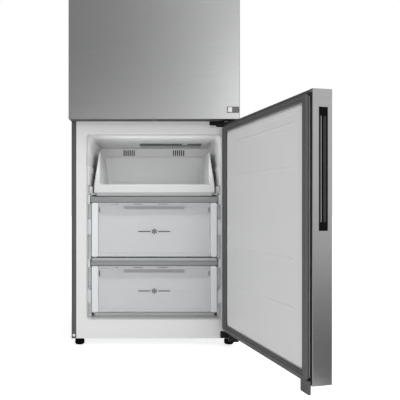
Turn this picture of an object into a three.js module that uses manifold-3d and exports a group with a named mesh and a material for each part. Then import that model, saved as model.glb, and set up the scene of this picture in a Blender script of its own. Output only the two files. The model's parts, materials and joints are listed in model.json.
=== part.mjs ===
// A two-door refrigerator with its freezer at the bottom, freezer door standing open.
// Millimetres, +Z up, +X to the right of someone facing it, +Y towards its back.
// Everything is laid out from the front face of the cabinet (Y = 0) and the floor (Z = 0),
// and the whole group is then moved so that its box is centred on the origin.
import * as THREE from "three";
import { mergeVertices } from "three/addons/utils/BufferGeometryUtils.js";
import Module from "manifold-3d";

const manifold = await Module();
manifold.setup();

// ---------------------------------------------------------------- driving dimensions

const GAP = 0.4; // between neighbouring pieces
const SHEET = 1.2; // steel sheet
const PLASTIC = 2; // liner wall

const HALF_WIDTH = 297.5; // cabinet and doors
const CABINET_DEPTH = 599;
const CABINET_BOTTOM = 25;
const CABINET_TOP = 1832;
const OVERALL_TOP = 1850;
const CABINET_CORNER = 2.4;
const RETURN_STRIP = 17; // folded steel strip round the front of the cabinet
const FLANGE_HALF = HALF_WIDTH - RETURN_STRIP - GAP;

const OPENING_HALF = 241.7; // both compartments
const CAVITY_BACK = 538;
const FREEZER = { bottom: 95, top: 757, flangeBottom: 25.4, flangeTop: 794.8 };
const FRIDGE = { bottom: 845, top: 1785, flangeBottom: 795.2, flangeTop: 1814.6 };
const STEP_FRONT = 335; // the freezer floor steps up here, over the compressor
const STEP_TOP = 280;
const MACHINE_FRONT = 384;
const MACHINE_TOP = 235;

const DOOR_FRONT = -68;
const DOOR_BACK = -12;
const DOOR_CAP = 8;
const DOOR_CORNER = 4;
const FREEZER_DOOR = { bottom: 56, top: 788 };
const FRIDGE_DOOR = { bottom: 802.5, top: CABINET_TOP };
const HINGE = { x: 274.4, y: -37, pin: 4, hole: 4.6 };
const FREEZER_DOOR_OPEN = THREE.MathUtils.degToRad(104);

const GASKET = { inset: 12, hingeInset: 16.5, width: 26, railWidth: 16, back: -0.8 };
const GRIP = { front: -53.8, back: -29.6, depth: 26, wall: 2, endCap: 20, length: 305 };
const FREEZER_GRIP_BOTTOM = 438;
const FRIDGE_GRIP_BOTTOM = 850;

const GLASS = 4;
const SHELF_HALF = 232;
const FREEZER_GLASS = { front: 40, back: 450 };
const FRIDGE_GLASS = { front: 122, back: 505 };
const FREEZER_SHELVES = { upper: 524, lower: 289 };
const FRIDGE_SHELVES = { top: 1500, middle: 1270 };
const CRISPER_COVER = 1045;
const LEDGE = { inner: 222, height: 7 };
const EVAPORATOR_COVER = { front: 455, back: 458 };

const DRAWER = { half: 228, boxHalf: 219, front: 25, face: 6, wall: 2.5 };
const UPPER_DRAWER = { bottom: 316, top: 513, back: 440 };
const LOWER_DRAWER = { bottom: 113, top: 282, back: 325 };
const TRAY = { half: 221, front: 40, back: 440, bottom: 549, lip: 577, rise: 209, top: 717, wall: 3 };
const CRISPER = { half: 210, front: 108, back: 420, bottom: 851.4, top: 1034 };
const BIN = { half: 204, back: -7.6, front: 92, wall: 2.5 };
const DOOR_BINS = {
  lower: { bottom: 882, height: 118 },
  middle: { bottom: 1190, height: 84 },
  upper: { bottom: 1470, height: 84 },
};

const FOOT = { x: 271, y: 25, radius: 17, stem: 5 };
const ROLLER = { x: 270, y: 572, radius: 12, width: 20, axle: 3 };
const FAN = { z: 640, radius: 50, front: 465, back: 482, blades: 7 };

// ---------------------------------------------------------------- materials

function finish(color, roughness, metalness = 0, opacity = 1) {
  return { color, roughness, metalness, opacity, transparent: opacity < 1 };
}

const BRUSHED_STEEL = finish(0xa9aaac, 0.38, 0.9);
const DARK_PAINT = finish(0x585a5c, 0.5, 0.3);
const ZINC = finish(0x9a9c9e, 0.5, 0.7);
const WHITE_PLASTIC = finish(0xe2e3e3, 0.45);
const GREY_PLASTIC = finish(0x8b8e91, 0.4);
const DARK_PLASTIC = finish(0x4a4b4d, 0.5);
const BLACK_PLASTIC = finish(0x151516, 0.45);
const GASKET_RUBBER = finish(0x5a5a5c, 0.7);
const FOAM = finish(0xe8dfb8, 0.9);
const CLEAR_GLASS = finish(0xcfdedb, 0.05, 0, 0.35);
const FROSTED = finish(0xdfe4e8, 0.35, 0, 0.6);
const ALUMINIUM = finish(0xc4c6c8, 0.35, 0.9);
const BLACK_PAINT = finish(0x1d1d1f, 0.4, 0.2);

// ---------------------------------------------------------------- solids

// A closed three.js geometry as a solid that can be joined and cut.
function solidOf(geometry) {
  const bare = geometry.index ? geometry.toNonIndexed() : geometry.clone();
  bare.deleteAttribute("normal");
  bare.deleteAttribute("uv");
  const merged = mergeVertices(bare, 1e-4);
  return new manifold.Manifold(
    new manifold.Mesh({
      numProp: 3,
      vertProperties: merged.attributes.position.array,
      triVerts: new Uint32Array(merged.index.array),
    }),
  );
}

function geometryOf(solid) {
  const mesh = solid.getMesh();
  const indexed = new THREE.BufferGeometry();
  indexed.setAttribute("position", new THREE.BufferAttribute(mesh.vertProperties, 3));
  indexed.setIndex(new THREE.BufferAttribute(mesh.triVerts, 1));
  const faceted = indexed.toNonIndexed();
  faceted.computeVertexNormals();
  return faceted;
}

function join(...solids) {
  return solids.flat().reduce((whole, solid) => whole.add(solid));
}

function cut(solid, ...cutters) {
  return cutters.flat().reduce((left, cutter) => left.subtract(cutter), solid);
}

// A box between two limits on each axis.
function block([x0, x1], [y0, y1], [z0, z1]) {
  const geometry = new THREE.BoxGeometry(x1 - x0, y1 - y0, z1 - z0);
  geometry.translate((x0 + x1) / 2, (y0 + y1) / 2, (z0 + z1) / 2);
  return solidOf(geometry);
}

function rectangle([u0, u1], [v0, v1], radius) {
  const shape = new THREE.Shape();
  shape.absarc(u1 - radius, v0 + radius, radius, -Math.PI / 2, 0);
  shape.absarc(u1 - radius, v1 - radius, radius, 0, Math.PI / 2);
  shape.absarc(u0 + radius, v1 - radius, radius, Math.PI / 2, Math.PI);
  shape.absarc(u0 + radius, v0 + radius, radius, Math.PI, Math.PI * 1.5);
  return shape;
}

function polygon(points) {
  return new THREE.Shape(points.map(([u, v]) => new THREE.Vector2(u, v)));
}

// Each drawing plane's own axes in the model, the third being the way it is drawn out.
const PLANES = {
  x: [new THREE.Vector3(0, 1, 0), new THREE.Vector3(0, 0, 1), new THREE.Vector3(1, 0, 0)],
  y: [new THREE.Vector3(1, 0, 0), new THREE.Vector3(0, 0, 1), new THREE.Vector3(0, -1, 0)],
  z: [new THREE.Vector3(1, 0, 0), new THREE.Vector3(0, 1, 0), new THREE.Vector3(0, 0, 1)],
};

// An outline drawn out along an axis. It is given in (y, z), (x, z) or (x, y).
function prism(axis, shape, [low, high]) {
  const geometry = new THREE.ExtrudeGeometry(shape, {
    depth: high - low,
    bevelEnabled: false,
    curveSegments: 4,
  });
  geometry.translate(0, 0, axis === "y" ? -high : low);
  geometry.applyMatrix4(new THREE.Matrix4().makeBasis(...PLANES[axis]));
  return solidOf(geometry);
}

// A round bar along an axis; its centre is given in the other two, in X, Y, Z order.
function rod(axis, radius, [u, v], [low, high], sides = 20) {
  const geometry = new THREE.CylinderGeometry(radius, radius, high - low, sides);
  geometry.translate(0, (low + high) / 2, 0);
  if (axis === "x") geometry.rotateZ(-Math.PI / 2).translate(0, u, v);
  if (axis === "y") geometry.translate(u, 0, v);
  if (axis === "z") geometry.rotateX(Math.PI / 2).translate(u, v, 0);
  return solidOf(geometry);
}

// A turned shape about a vertical axis, from (radius, height) points that start and end on it.
function turned(points, x, y, sides = 24) {
  const profile = points.map(([r, z]) => new THREE.Vector2(r, z));
  const geometry = new THREE.LatheGeometry(profile, sides);
  geometry.rotateX(Math.PI / 2).translate(x, y, 0);
  return solidOf(geometry);
}

function mirrored(maker) {
  return [-1, 1].map(maker);
}

// The two limits of a stretch on one side of the cabinet, in rising order.
function onSide(side, near, far) {
  return side > 0 ? [near, far] : [-far, -near];
}

function span(half) {
  return [-half, half];
}

// ---------------------------------------------------------------- the tree of pieces

const refrigerator = new THREE.Group();
const layout = new THREE.Group();
refrigerator.add(layout);

function piece(name, look, solid, parent = layout) {
  const mesh = new THREE.Mesh(geometryOf(solid), new THREE.MeshStandardMaterial(look));
  mesh.name = name;
  mesh.position.copy(parent.userData.pivot ?? new THREE.Vector3()).negate();
  parent.add(mesh);
}

// A group that turns about a vertical axis; its pieces are drawn as they stand when it is shut.
function swinging(angle) {
  const group = new THREE.Group();
  group.userData.pivot = new THREE.Vector3(HINGE.x, HINGE.y, 0);
  group.position.copy(group.userData.pivot);
  group.rotation.z = angle;
  layout.add(group);
  return group;
}

// ---------------------------------------------------------------- cabinet shell

function makeWrapper() {
  const r = CABINET_CORNER;
  const outer = prism("y", rectangle(span(HALF_WIDTH), [0, CABINET_TOP], r), [0, CABINET_DEPTH]);
  const inner = prism(
    "y",
    rectangle(span(HALF_WIDTH - SHEET), [0, CABINET_TOP - SHEET], r - SHEET),
    [SHEET, CABINET_DEPTH + 1],
  );
  const front = block(span(HALF_WIDTH - RETURN_STRIP), [-1, SHEET + 1], [0, CABINET_TOP - RETURN_STRIP]);
  const below = block(span(HALF_WIDTH + 1), [-1, CABINET_DEPTH + 1], [-1, CABINET_BOTTOM]);
  piece("cabinet_wrapper", DARK_PAINT, cut(outer, inner, front, below));
}

function makeRearPanel() {
  const y = [CABINET_DEPTH - SHEET, CABINET_DEPTH];
  const half = HALF_WIDTH - SHEET - GAP;
  piece("rear_panel", ZINC, block(span(half), y, [MACHINE_TOP + 3, CABINET_TOP - SHEET - GAP]));
}

function makeBasePan() {
  const bottom = CABINET_BOTTOM + GAP;
  const back = CABINET_DEPTH - SHEET - GAP;
  const outline = polygon([
    [PLASTIC + GAP, bottom],
    [MACHINE_FRONT + SHEET, bottom],
    [MACHINE_FRONT + SHEET, MACHINE_TOP],
    [back, MACHINE_TOP],
    [back, MACHINE_TOP + SHEET],
    [MACHINE_FRONT, MACHINE_TOP + SHEET],
    [MACHINE_FRONT, bottom + SHEET],
    [PLASTIC + GAP, bottom + SHEET],
  ]);
  const pan = prism("x", outline, span(HALF_WIDTH - SHEET - GAP));
  const holes = mirrored((side) => rod("z", FOOT.stem + 0.6, [side * FOOT.x, FOOT.y], [20, 40]));
  piece("base_pan", ZINC, cut(pan, holes));
}

function makeCompressorBase() {
  const plate = block(span(289), [MACHINE_FRONT + 4, 594], [27, 30]);
  const ears = mirrored((side) => {
    const centre = side * ROLLER.x;
    const gap = ROLLER.width / 2 + GAP;
    const cheeks = [-1, 1].map((end) => {
      const inner = centre + end * gap;
      const outer = inner + end * 3;
      return block(
        [Math.min(inner, outer), Math.max(inner, outer)],
        [ROLLER.y - 9, ROLLER.y + 9],
        [6, 28],
      );
    });
    const reach = gap + 2;
    const axle = rod("x", ROLLER.axle, [ROLLER.y, ROLLER.radius], [centre - reach, centre + reach], 16);
    return [...cheeks, axle];
  });
  piece("compressor_base", ZINC, join(plate, ears.flat()));
}

// The freezer compartment seen from the side: a floor that steps up over the machine space.
function freezerOutline(front, grow) {
  return polygon([
    [front, FREEZER.bottom - grow],
    [STEP_FRONT + grow, FREEZER.bottom - grow],
    [STEP_FRONT + grow, STEP_TOP - grow],
    [CAVITY_BACK + grow, STEP_TOP - grow],
    [CAVITY_BACK + grow, FREEZER.top + grow],
    [front, FREEZER.top + grow],
  ]);
}

function fridgeCavity(front, grow) {
  return block(
    span(OPENING_HALF + grow),
    [front, CAVITY_BACK + grow],
    [FRIDGE.bottom - grow, FRIDGE.top + grow],
  );
}

function makeFoam() {
  const grow = PLASTIC + GAP;
  const front = PLASTIC + GAP;
  const pan = CABINET_BOTTOM + GAP + SHEET + GAP;
  const body = block(
    span(HALF_WIDTH - SHEET - GAP),
    [front, CABINET_DEPTH - SHEET - GAP],
    [pan, CABINET_TOP - SHEET - GAP],
  );
  const machine = block(
    span(HALF_WIDTH + 1),
    [MACHINE_FRONT - GAP, CABINET_DEPTH + 1],
    [0, MACHINE_TOP + SHEET + GAP],
  );
  const freezer = prism("x", freezerOutline(-1, grow), span(OPENING_HALF + grow));
  const stems = mirrored((side) => rod("z", FOOT.stem + 3, [side * FOOT.x, FOOT.y], [20, 44]));
  piece("cabinet_foam", FOAM, cut(body, machine, freezer, fridgeCavity(-1, grow), stems));
}

// A ledge on each side wall, its top at the given height.
function ledges(top, front, back, inner = LEDGE.inner) {
  return mirrored((side) =>
    block(onSide(side, inner, OPENING_HALF + 1), [front, back], [top - LEDGE.height, top]),
  );
}

function makeFreezerLiner() {
  const flange = block(
    span(FLANGE_HALF),
    [0, PLASTIC],
    [FREEZER.flangeBottom, FREEZER.flangeTop],
  );
  const outer = prism("x", freezerOutline(0, PLASTIC), span(OPENING_HALF + PLASTIC));
  const inner = prism("x", freezerOutline(-1, 0), span(OPENING_HALF));
  const back = FREEZER_GLASS.back;
  const supports = [
    ledges(FREEZER_SHELVES.upper - GAP, 60, back),
    ledges(FREEZER_SHELVES.lower - GAP, 60, STEP_FRONT + 1),
    ledges(FREEZER_SHELVES.lower - GAP, STEP_FRONT, back),
    ledges(TRAY.bottom - GAP, 60, 430, 210),
    ledges(UPPER_DRAWER.bottom - GAP, 60, 430, 212),
    ledges(LOWER_DRAWER.bottom - GAP, 60, STEP_FRONT + 1, 212),
  ];
  // Raised pads near the mouth keep the drawers and the tray centred.
  const pads = [
    [572, 650],
    [397, 447],
    [143, 203],
  ].map((z) => mirrored((side) => block(onSide(side, 236, OPENING_HALF + 1), [28, 200], z)));
  piece(
    "freezer_liner",
    WHITE_PLASTIC,
    join(cut(join(flange, outer), inner), supports.flat(), pads.flat()),
  );
}

function makeFridgeLiner() {
  const flange = block(span(FLANGE_HALF), [0, PLASTIC], [FRIDGE.flangeBottom, FRIDGE.flangeTop]);
  const shell = cut(join(flange, fridgeCavity(0, PLASTIC)), fridgeCavity(-1, 0));
  const { front, back } = FRIDGE_GLASS;
  const supports = [FRIDGE_SHELVES.top, FRIDGE_SHELVES.middle, CRISPER_COVER].map((glass) =>
    ledges(glass - GAP, front + 20, back),
  );
  const runners = ledges(CRISPER.bottom - GAP, 112, back, 190);
  piece("fridge_liner", WHITE_PLASTIC, join(shell, supports.flat(), runners));
}

function makeHinges() {
  const { x, y, pin } = HINGE;
  const flat = -GAP;

  const middlePlate = join(
    block([198, 252], [-4, flat], [790, 808]),
    block([222, 252], [-4, flat], [784, 791]),
  );
  const arm = new THREE.Shape();
  arm.moveTo(205, flat);
  arm.lineTo(205, -9);
  arm.lineTo(x - 14, y - 4);
  arm.absarc(x, y, 14, -Math.PI * 0.9, 0);
  arm.lineTo(x + 14, -14);
  arm.lineTo(258, flat);
  const middleArm = prism("z", arm, [789, 796]);
  const middlePins = rod("z", pin, [x, y], [772, 814]);
  piece("middle_hinge", BLACK_PAINT, join(middlePlate, middleArm, middlePins));

  piece(
    "middle_hinge_spacer",
    GREY_PLASTIC,
    block([198, 221.6], [-6, flat], [779, 788.6]),
  );

  const bottomPlate = block([237, 297], [-4, flat], [27, 52]);
  const bottomArm = block([262, 297], [-50, flat], [24, 46]);
  const bottomPin = rod("z", pin, [x, y], [40, 72]);
  piece("bottom_hinge", BLACK_PAINT, join(bottomPlate, bottomArm, bottomPin));

  const topPlate = block([206, 290], [-54, 78], [CABINET_TOP + GAP, CABINET_TOP + 4]);
  const topPin = rod("z", pin, [x, y], [CABINET_TOP - 16, CABINET_TOP + 2]);
  piece("top_hinge", ZINC, join(topPlate, topPin));

  const coverSkin = prism("z", rectangle([198, 296], [-62, 92], 8), [CABINET_TOP + GAP, OVERALL_TOP]);
  const coverRoom = block([201, 293], [-59, 89], [CABINET_TOP - 1, OVERALL_TOP - 2.5]);
  piece("top_hinge_cover", DARK_PLASTIC, cut(coverSkin, coverRoom));

  piece("hinge_hole_plug", WHITE_PLASTIC, rod("y", 5, [-288.5, 37], [-3, flat]));
}

// ---------------------------------------------------------------- machine space

function makeMachineSpace() {
  const centre = [110, 490];
  const can = turned(
    [
      [0, 34],
      [52, 34],
      [70, 46],
      [74, 60],
      [74, 122],
      [66, 148],
      [44, 166],
      [0, 172],
    ],
    ...centre,
    28,
  );
  const foot = block([20, 200], [430, 550], [30.4, 36]);
  piece("compressor", BLACK_PAINT, join(can, foot));

  const tray = cut(
    block([30, 190], [410, 570], [172.4, 212]),
    block([33, 187], [413, 567], [175.4, 220]),
  );
  piece("drip_tray", DARK_PLASTIC, tray);

  const sheet = [CABINET_DEPTH - SHEET, CABINET_DEPTH];
  const gland = [-235, 70];
  const slots = [];
  for (let column = 0; column < 9; column += 1) {
    for (let row = 0; row < 2; row += 1) {
      const x = -200 + column * 50;
      const z = 120 + row * 60;
      slots.push(block([x - 4, x + 4], [CABINET_DEPTH - 5, CABINET_DEPTH + 5], [z - 22, z + 22]));
    }
  }
  const hole = rod("y", 9.5, gland, [CABINET_DEPTH - 5, CABINET_DEPTH + 5]);
  piece("machine_cover", ZINC, cut(block(span(289), sheet, [32, MACHINE_TOP - 1]), slots, hole));
  piece(
    "cord_gland",
    BLACK_PLASTIC,
    cut(
      join(
        rod("y", 9, gland, [CABINET_DEPTH - 14, CABINET_DEPTH]),
        rod("y", 13, gland, [CABINET_DEPTH - 8, CABINET_DEPTH - SHEET - GAP]),
      ),
      rod("y", 4, gland, [CABINET_DEPTH - 20, CABINET_DEPTH + 5]),
    ),
  );
}

function makeRollers() {
  mirrored((side) => {
    const half = ROLLER.width / 2;
    const centre = [ROLLER.y, ROLLER.radius];
    const x = [side * ROLLER.x - half, side * ROLLER.x + half];
    const wheel = rod("x", ROLLER.radius, centre, x, 32);
    const bore = rod("x", ROLLER.axle + GAP, centre, [x[0] - 1, x[1] + 1], 16);
    piece(side < 0 ? "rear_roller_left" : "rear_roller_right", BLACK_PLASTIC, cut(wheel, bore));
  });
}

function makeFeet() {
  mirrored((side) => {
    const { x, y, radius, stem } = FOOT;
    const foot = turned(
      [
        [0, 0],
        [radius - 3, 0],
        [radius, 3],
        [radius, 19],
        [radius - 4, 24],
        [stem, 24],
        [stem, 40],
        [0, 40],
      ],
      side * x,
      y,
      28,
    );
    piece(side < 0 ? "levelling_foot_left" : "levelling_foot_right", BLACK_PLASTIC, foot);
  });
}

// ---------------------------------------------------------------- cold air side

function makeEvaporatorCover() {
  const { front, back } = EVAPORATOR_COVER;
  const plate = block(span(OPENING_HALF - GAP), [front, back], [STEP_TOP + GAP, FREEZER.top - GAP]);
  const through = [front - 1, back + 1];
  const vents = [-138, 83].flatMap((first) =>
    [0, 1, 2, 3, 4, 5].map((n) => block([first + n * 9, first + n * 9 + 5], through, [726, 751])),
  );
  const fanSlots = [-3, -2, -1, 0, 1, 2, 3].map((n) =>
    block(span(44 - 3 * Math.abs(n)), through, [FAN.z + n * 12 - 3, FAN.z + n * 12 + 3]),
  );
  const returns = [-4, -3, -2, -1, 0, 1, 2, 3, 4].map((n) =>
    block([n * 40 - 12, n * 40 + 12], through, [322, 330]),
  );
  const ring = cut(
    rod("y", FAN.radius + 6, [0, FAN.z], [back - 1, FAN.back + 8], 32),
    rod("y", FAN.radius + 4, [0, FAN.z], [back, FAN.back + 9], 32),
  );
  const bar = block(span(FAN.radius + 5), [FAN.back + 4, FAN.back + 8], [FAN.z - 6, FAN.z + 6]);
  const axle = rod("y", 3, [0, FAN.z], [FAN.front + 2, FAN.back + 6], 16);
  piece(
    "evaporator_cover",
    WHITE_PLASTIC,
    join(cut(plate, vents, fanSlots, returns), ring, bar, axle),
  );
}

function makeFan() {
  const { z, radius, front, back, blades } = FAN;
  const hub = rod("y", 16, [0, z], [front, back]);
  const vanes = [];
  for (let n = 0; n < blades; n += 1) {
    const vane = new THREE.BoxGeometry(radius - 12, 2, 22);
    vane.rotateX(THREE.MathUtils.degToRad(60));
    vane.translate((radius + 12) / 2, (front + back) / 2, 0);
    vane.rotateY((2 * Math.PI * n) / blades);
    vane.translate(0, 0, z);
    vanes.push(solidOf(vane));
  }
  const bore = rod("y", 3.4, [0, z], [front - 1, back + 1], 16);
  piece("evaporator_fan", GREY_PLASTIC, cut(join(hub, vanes), bore));
}

function makeEvaporator() {
  const grooves = [];
  for (let x = -168; x <= 168; x += 24) {
    grooves.push(block([x - 10, x + 10], [470, 522], [320, 570]));
  }
  piece("evaporator", ALUMINIUM, cut(block(span(190), [474, 530], [325, 560]), grooves));
}

function makeAirOutlet() {
  const body = block([-60, 194], [270, 340], [749, FREEZER.top - GAP]);
  const notch = block([114, 136], [260, 332], [740, 753]);
  piece("freezer_air_outlet", GREY_PLASTIC, cut(body, notch));
}

function makeFridgeFittings() {
  const back = CAVITY_BACK - GAP;
  const duct = block(span(80), [back - 16, back], [900, 1740]);
  const slots = [1120, 1200, 1340, 1420, 1580, 1660].map((z) =>
    block(span(46), [back - 20, back - 8], [z - 5, z + 5]),
  );
  piece("fridge_duct_cover", WHITE_PLASTIC, cut(duct, slots));
  piece(
    "fridge_light_lens",
    FROSTED,
    prism("z", rectangle(span(90), [230, 320], 10), [FRIDGE.top - 9, FRIDGE.top - GAP]),
  );
}

// ---------------------------------------------------------------- shelves

// A glass plate lying in the slot of its front trim.
function makeShelf(name, glass, { front, back }, trimOutline, trimDepth) {
  const z = [glass, glass + GLASS];
  piece(name + "_glass", CLEAR_GLASS, block(span(SHELF_HALF), [front, back], z));
  const slot = block(
    span(HALF_WIDTH),
    [front - GAP, front + trimDepth],
    [z[0] - GAP, z[1] + GAP],
  );
  const trim = prism("y", trimOutline, [front - 10, front + 12]);
  piece(name + "_trim", GREY_PLASTIC, cut(trim, slot));
}

function makeShelves() {
  const width = span(SHELF_HALF + 1);
  const { upper, lower } = FREEZER_SHELVES;
  makeShelf("freezer_shelf_upper", upper, FREEZER_GLASS, rectangle(width, [513.4, 535.6], 3), 20);
  makeShelf("freezer_shelf_lower", lower, FREEZER_GLASS, rectangle(width, [282.6, 301], 8), 20);
  const { top, middle } = FRIDGE_SHELVES;
  [
    ["fridge_shelf_top", top],
    ["fridge_shelf_middle", middle],
    ["crisper_cover", CRISPER_COVER],
  ].forEach(([name, glass]) =>
    makeShelf(name, glass, FRIDGE_GLASS, rectangle(width, [glass - 8, glass + 12], 4), 20),
  );
}

// ---------------------------------------------------------------- drawers and tray

function openBox(half, [y0, y1], [z0, z1], wall) {
  return cut(
    block(span(half), [y0, y1], [z0, z1]),
    block(span(half - wall), [y0 + wall, y1 - wall], [z0 + wall, z1 + 1]),
  );
}

function makeDrawer(name, { bottom, top, back }, { half, boxHalf, front, face, wall }) {
  const panel = prism("y", rectangle(span(half), [bottom, top], 5), [front, front + face]);
  const box = openBox(boxHalf, [front + face - wall, back], [bottom, top - 28], wall);
  piece(name, FROSTED, join(panel, box));
}

function makeTray() {
  const { half, front, back, bottom, lip, rise, top, wall } = TRAY;
  const outline = polygon([
    [front, bottom],
    [back, bottom],
    [back, top],
    [rise, top],
    [front, lip],
  ]);
  const room = block(span(half - wall), [front + wall, back - wall], [bottom + wall, top + 1]);
  piece("freezer_tray", WHITE_PLASTIC, cut(prism("x", outline, span(half)), room));
}

function makeDrawers() {
  makeDrawer("freezer_drawer_upper", UPPER_DRAWER, DRAWER);
  makeDrawer("freezer_drawer_lower", LOWER_DRAWER, DRAWER);
  const { half, front, bottom, top, back } = CRISPER;
  const crisper = { half, boxHalf: half - 4, front, face: DRAWER.face, wall: DRAWER.wall };
  makeDrawer("crisper_drawer", { bottom, top, back }, crisper);
}

// ---------------------------------------------------------------- doors

// The steel skin seen from above: front and sides, with short folds behind.
function skinOutline() {
  const half = HALF_WIDTH;
  const fold = HALF_WIDTH - 12.5;
  const r = DOOR_CORNER;
  const outline = new THREE.Shape();
  outline.moveTo(-fold, DOOR_BACK);
  outline.lineTo(-half, DOOR_BACK);
  outline.absarc(-half + r, DOOR_FRONT + r, r, Math.PI, Math.PI * 1.5);
  outline.absarc(half - r, DOOR_FRONT + r, r, -Math.PI / 2, 0);
  outline.lineTo(half, DOOR_BACK);
  outline.lineTo(fold, DOOR_BACK);
  outline.lineTo(fold, DOOR_BACK - SHEET);
  outline.lineTo(half - SHEET, DOOR_BACK - SHEET);
  const inner = r - SHEET;
  outline.absarc(half - r, DOOR_FRONT + r, inner, 0, -Math.PI / 2, true);
  outline.absarc(-half + r, DOOR_FRONT + r, inner, Math.PI * 1.5, Math.PI, true);
  outline.lineTo(-half + SHEET, DOOR_BACK - SHEET);
  outline.lineTo(-fold, DOOR_BACK - SHEET);
  return outline;
}

function makeDoorBody(prefix, group, { bottom, top }, gripBottom) {
  const { x, y, pin, hole } = HINGE;
  const half = HALF_WIDTH - SHEET - GAP;
  const gripTop = gripBottom + GRIP.length;
  const gripY = [GRIP.front, GRIP.back];
  const gripZ = [gripBottom, gripTop];
  const roomFor = (grow, depth) =>
    block(
      [-HALF_WIDTH - 1, -HALF_WIDTH + depth],
      [gripY[0] - grow, gripY[1] + grow],
      [gripZ[0] - grow, gripZ[1] + grow],
    );

  const skin = prism("z", skinOutline(), [bottom, top]);
  piece(prefix + "_skin", BRUSHED_STEEL, cut(skin, roomFor(GAP, 10)), group);

  const front = DOOR_FRONT + SHEET + GAP;
  const panelFront = DOOR_BACK - 3.6;
  const foamZ = [bottom + DOOR_CAP + GAP, top - DOOR_CAP - GAP];
  const foam = block(span(half), [front + 1, panelFront - GAP], foamZ);
  const pinHoles = [
    rod("z", pin + 2, [x, y], [bottom, bottom + 22]),
    rod("z", pin + 2, [x, y], [top - 22, top]),
  ];
  const foamSolid = cut(foam, roomFor(GAP, GRIP.depth + GAP), pinHoles);
  piece(prefix + "_foam", FOAM, foamSolid, group);

  const bore = rod("z", hole, [x, y], [bottom - 1, top + 1]);
  const capY = [front + 1, DOOR_BACK - SHEET - GAP];
  const capShape = rectangle(span(half), capY, 2);
  const bottomCap = cut(prism("z", capShape, [bottom, bottom + DOOR_CAP]), bore);
  const topCap = cut(prism("z", capShape, [top - DOOR_CAP, top]), bore);
  piece(prefix + "_bottom_cap", DARK_PLASTIC, bottomCap, group);
  piece(prefix + "_top_cap", DARK_PLASTIC, topCap, group);

  const { inset, hingeInset, width, railWidth, back } = GASKET;
  const ring = (side, rail) =>
    rectangle(
      [-HALF_WIDTH + inset + side, HALF_WIDTH - hingeInset - side],
      [bottom + inset + rail, top - inset - rail],
      4 + side / 3,
    );
  const gasket = cut(
    prism("y", ring(0, 0), [DOOR_BACK + GAP, back]),
    prism("y", ring(width, railWidth), [DOOR_BACK - 1, back + 1]),
  );
  piece(prefix + "_gasket", GASKET_RUBBER, gasket, group);

  const gripBody = block([-HALF_WIDTH, -HALF_WIDTH + GRIP.depth], gripY, gripZ);
  const gripRoom = block(
    [-HALF_WIDTH - 1, -HALF_WIDTH + GRIP.depth - GRIP.wall],
    [gripY[0] + GRIP.wall, gripY[1] - GRIP.wall],
    [gripZ[0] + GRIP.endCap, gripZ[1] - GRIP.endCap],
  );
  piece(prefix + "_grip", BLACK_PLASTIC, cut(gripBody, gripRoom), group);

  return block(
    span(HALF_WIDTH - 12.5 - GAP),
    [panelFront, DOOR_BACK],
    [bottom + DOOR_CAP + GAP, top - DOOR_CAP - GAP],
  );
}

function makeFreezerDoor() {
  const group = swinging(FREEZER_DOOR_OPEN);
  const { bottom, top } = FREEZER_DOOR;
  const plate = makeDoorBody("freezer_door", group, FREEZER_DOOR, FREEZER_GRIP_BOTTOM);
  const inset = GASKET.inset + GASKET.width + 2;
  const hingeInset = GASKET.hingeInset + GASKET.width + 2;
  const railInset = GASKET.inset + GASKET.railWidth + 2;
  const plateauX = [-HALF_WIDTH + inset, HALF_WIDTH - hingeInset];
  const plateau = prism(
    "y",
    rectangle(plateauX, [bottom + railInset, top - railInset], 12),
    [DOOR_BACK - 1, DOOR_BACK + 4],
  );
  piece("freezer_door_panel", WHITE_PLASTIC, join(plate, plateau), group);
  piece(
    "freezer_door_stop_block",
    GREY_PLASTIC,
    block([-292, -252], [DOOR_BACK + GAP, -3.8], [33, bottom + GASKET.inset - GAP]),
    group,
  );
}

function makeFridgeDoor() {
  const group = swinging(0);
  const plate = makeDoorBody("fridge_door", group, FRIDGE_DOOR, FRIDGE_GRIP_BOTTOM);
  const outer = block(span(228), [DOOR_BACK - 1, 40], [858, 1772]);
  const inner = block(span(BIN.half + GAP), [DOOR_BACK + 4, 41], [878, 1756]);
  piece("fridge_door_panel", WHITE_PLASTIC, join(plate, cut(outer, inner)), group);

  piece(
    "fridge_door_badge",
    GREY_PLASTIC,
    block([252, 294], [DOOR_FRONT - 1.6, DOOR_FRONT - GAP], [823.5, 844.5]),
    group,
  );

  for (const [level, { bottom, height }] of Object.entries(DOOR_BINS)) {
    const y = [BIN.back, BIN.front];
    const bin = openBox(BIN.half, y, [bottom, bottom + height], BIN.wall);
    piece("door_bin_" + level, FROSTED, bin, group);
  }
}

// ---------------------------------------------------------------- assembly

makeWrapper();
makeRearPanel();
makeBasePan();
makeCompressorBase();
makeFoam();
makeFridgeLiner();
makeFreezerLiner();
makeHinges();
makeMachineSpace();
makeRollers();
makeFeet();
makeEvaporatorCover();
makeFan();
makeEvaporator();
makeAirOutlet();
makeFridgeFittings();
makeShelves();
makeDrawers();
makeTray();
makeFreezerDoor();
makeFridgeDoor();

const box = new THREE.Box3().setFromObject(refrigerator, true);
const centre = box.getCenter(new THREE.Vector3());
layout.position.set(-centre.x, -centre.y, 0);

export default refrigerator;
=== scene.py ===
import json
import math

import bmesh
import bpy
from mathutils import Matrix, Vector


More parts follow.
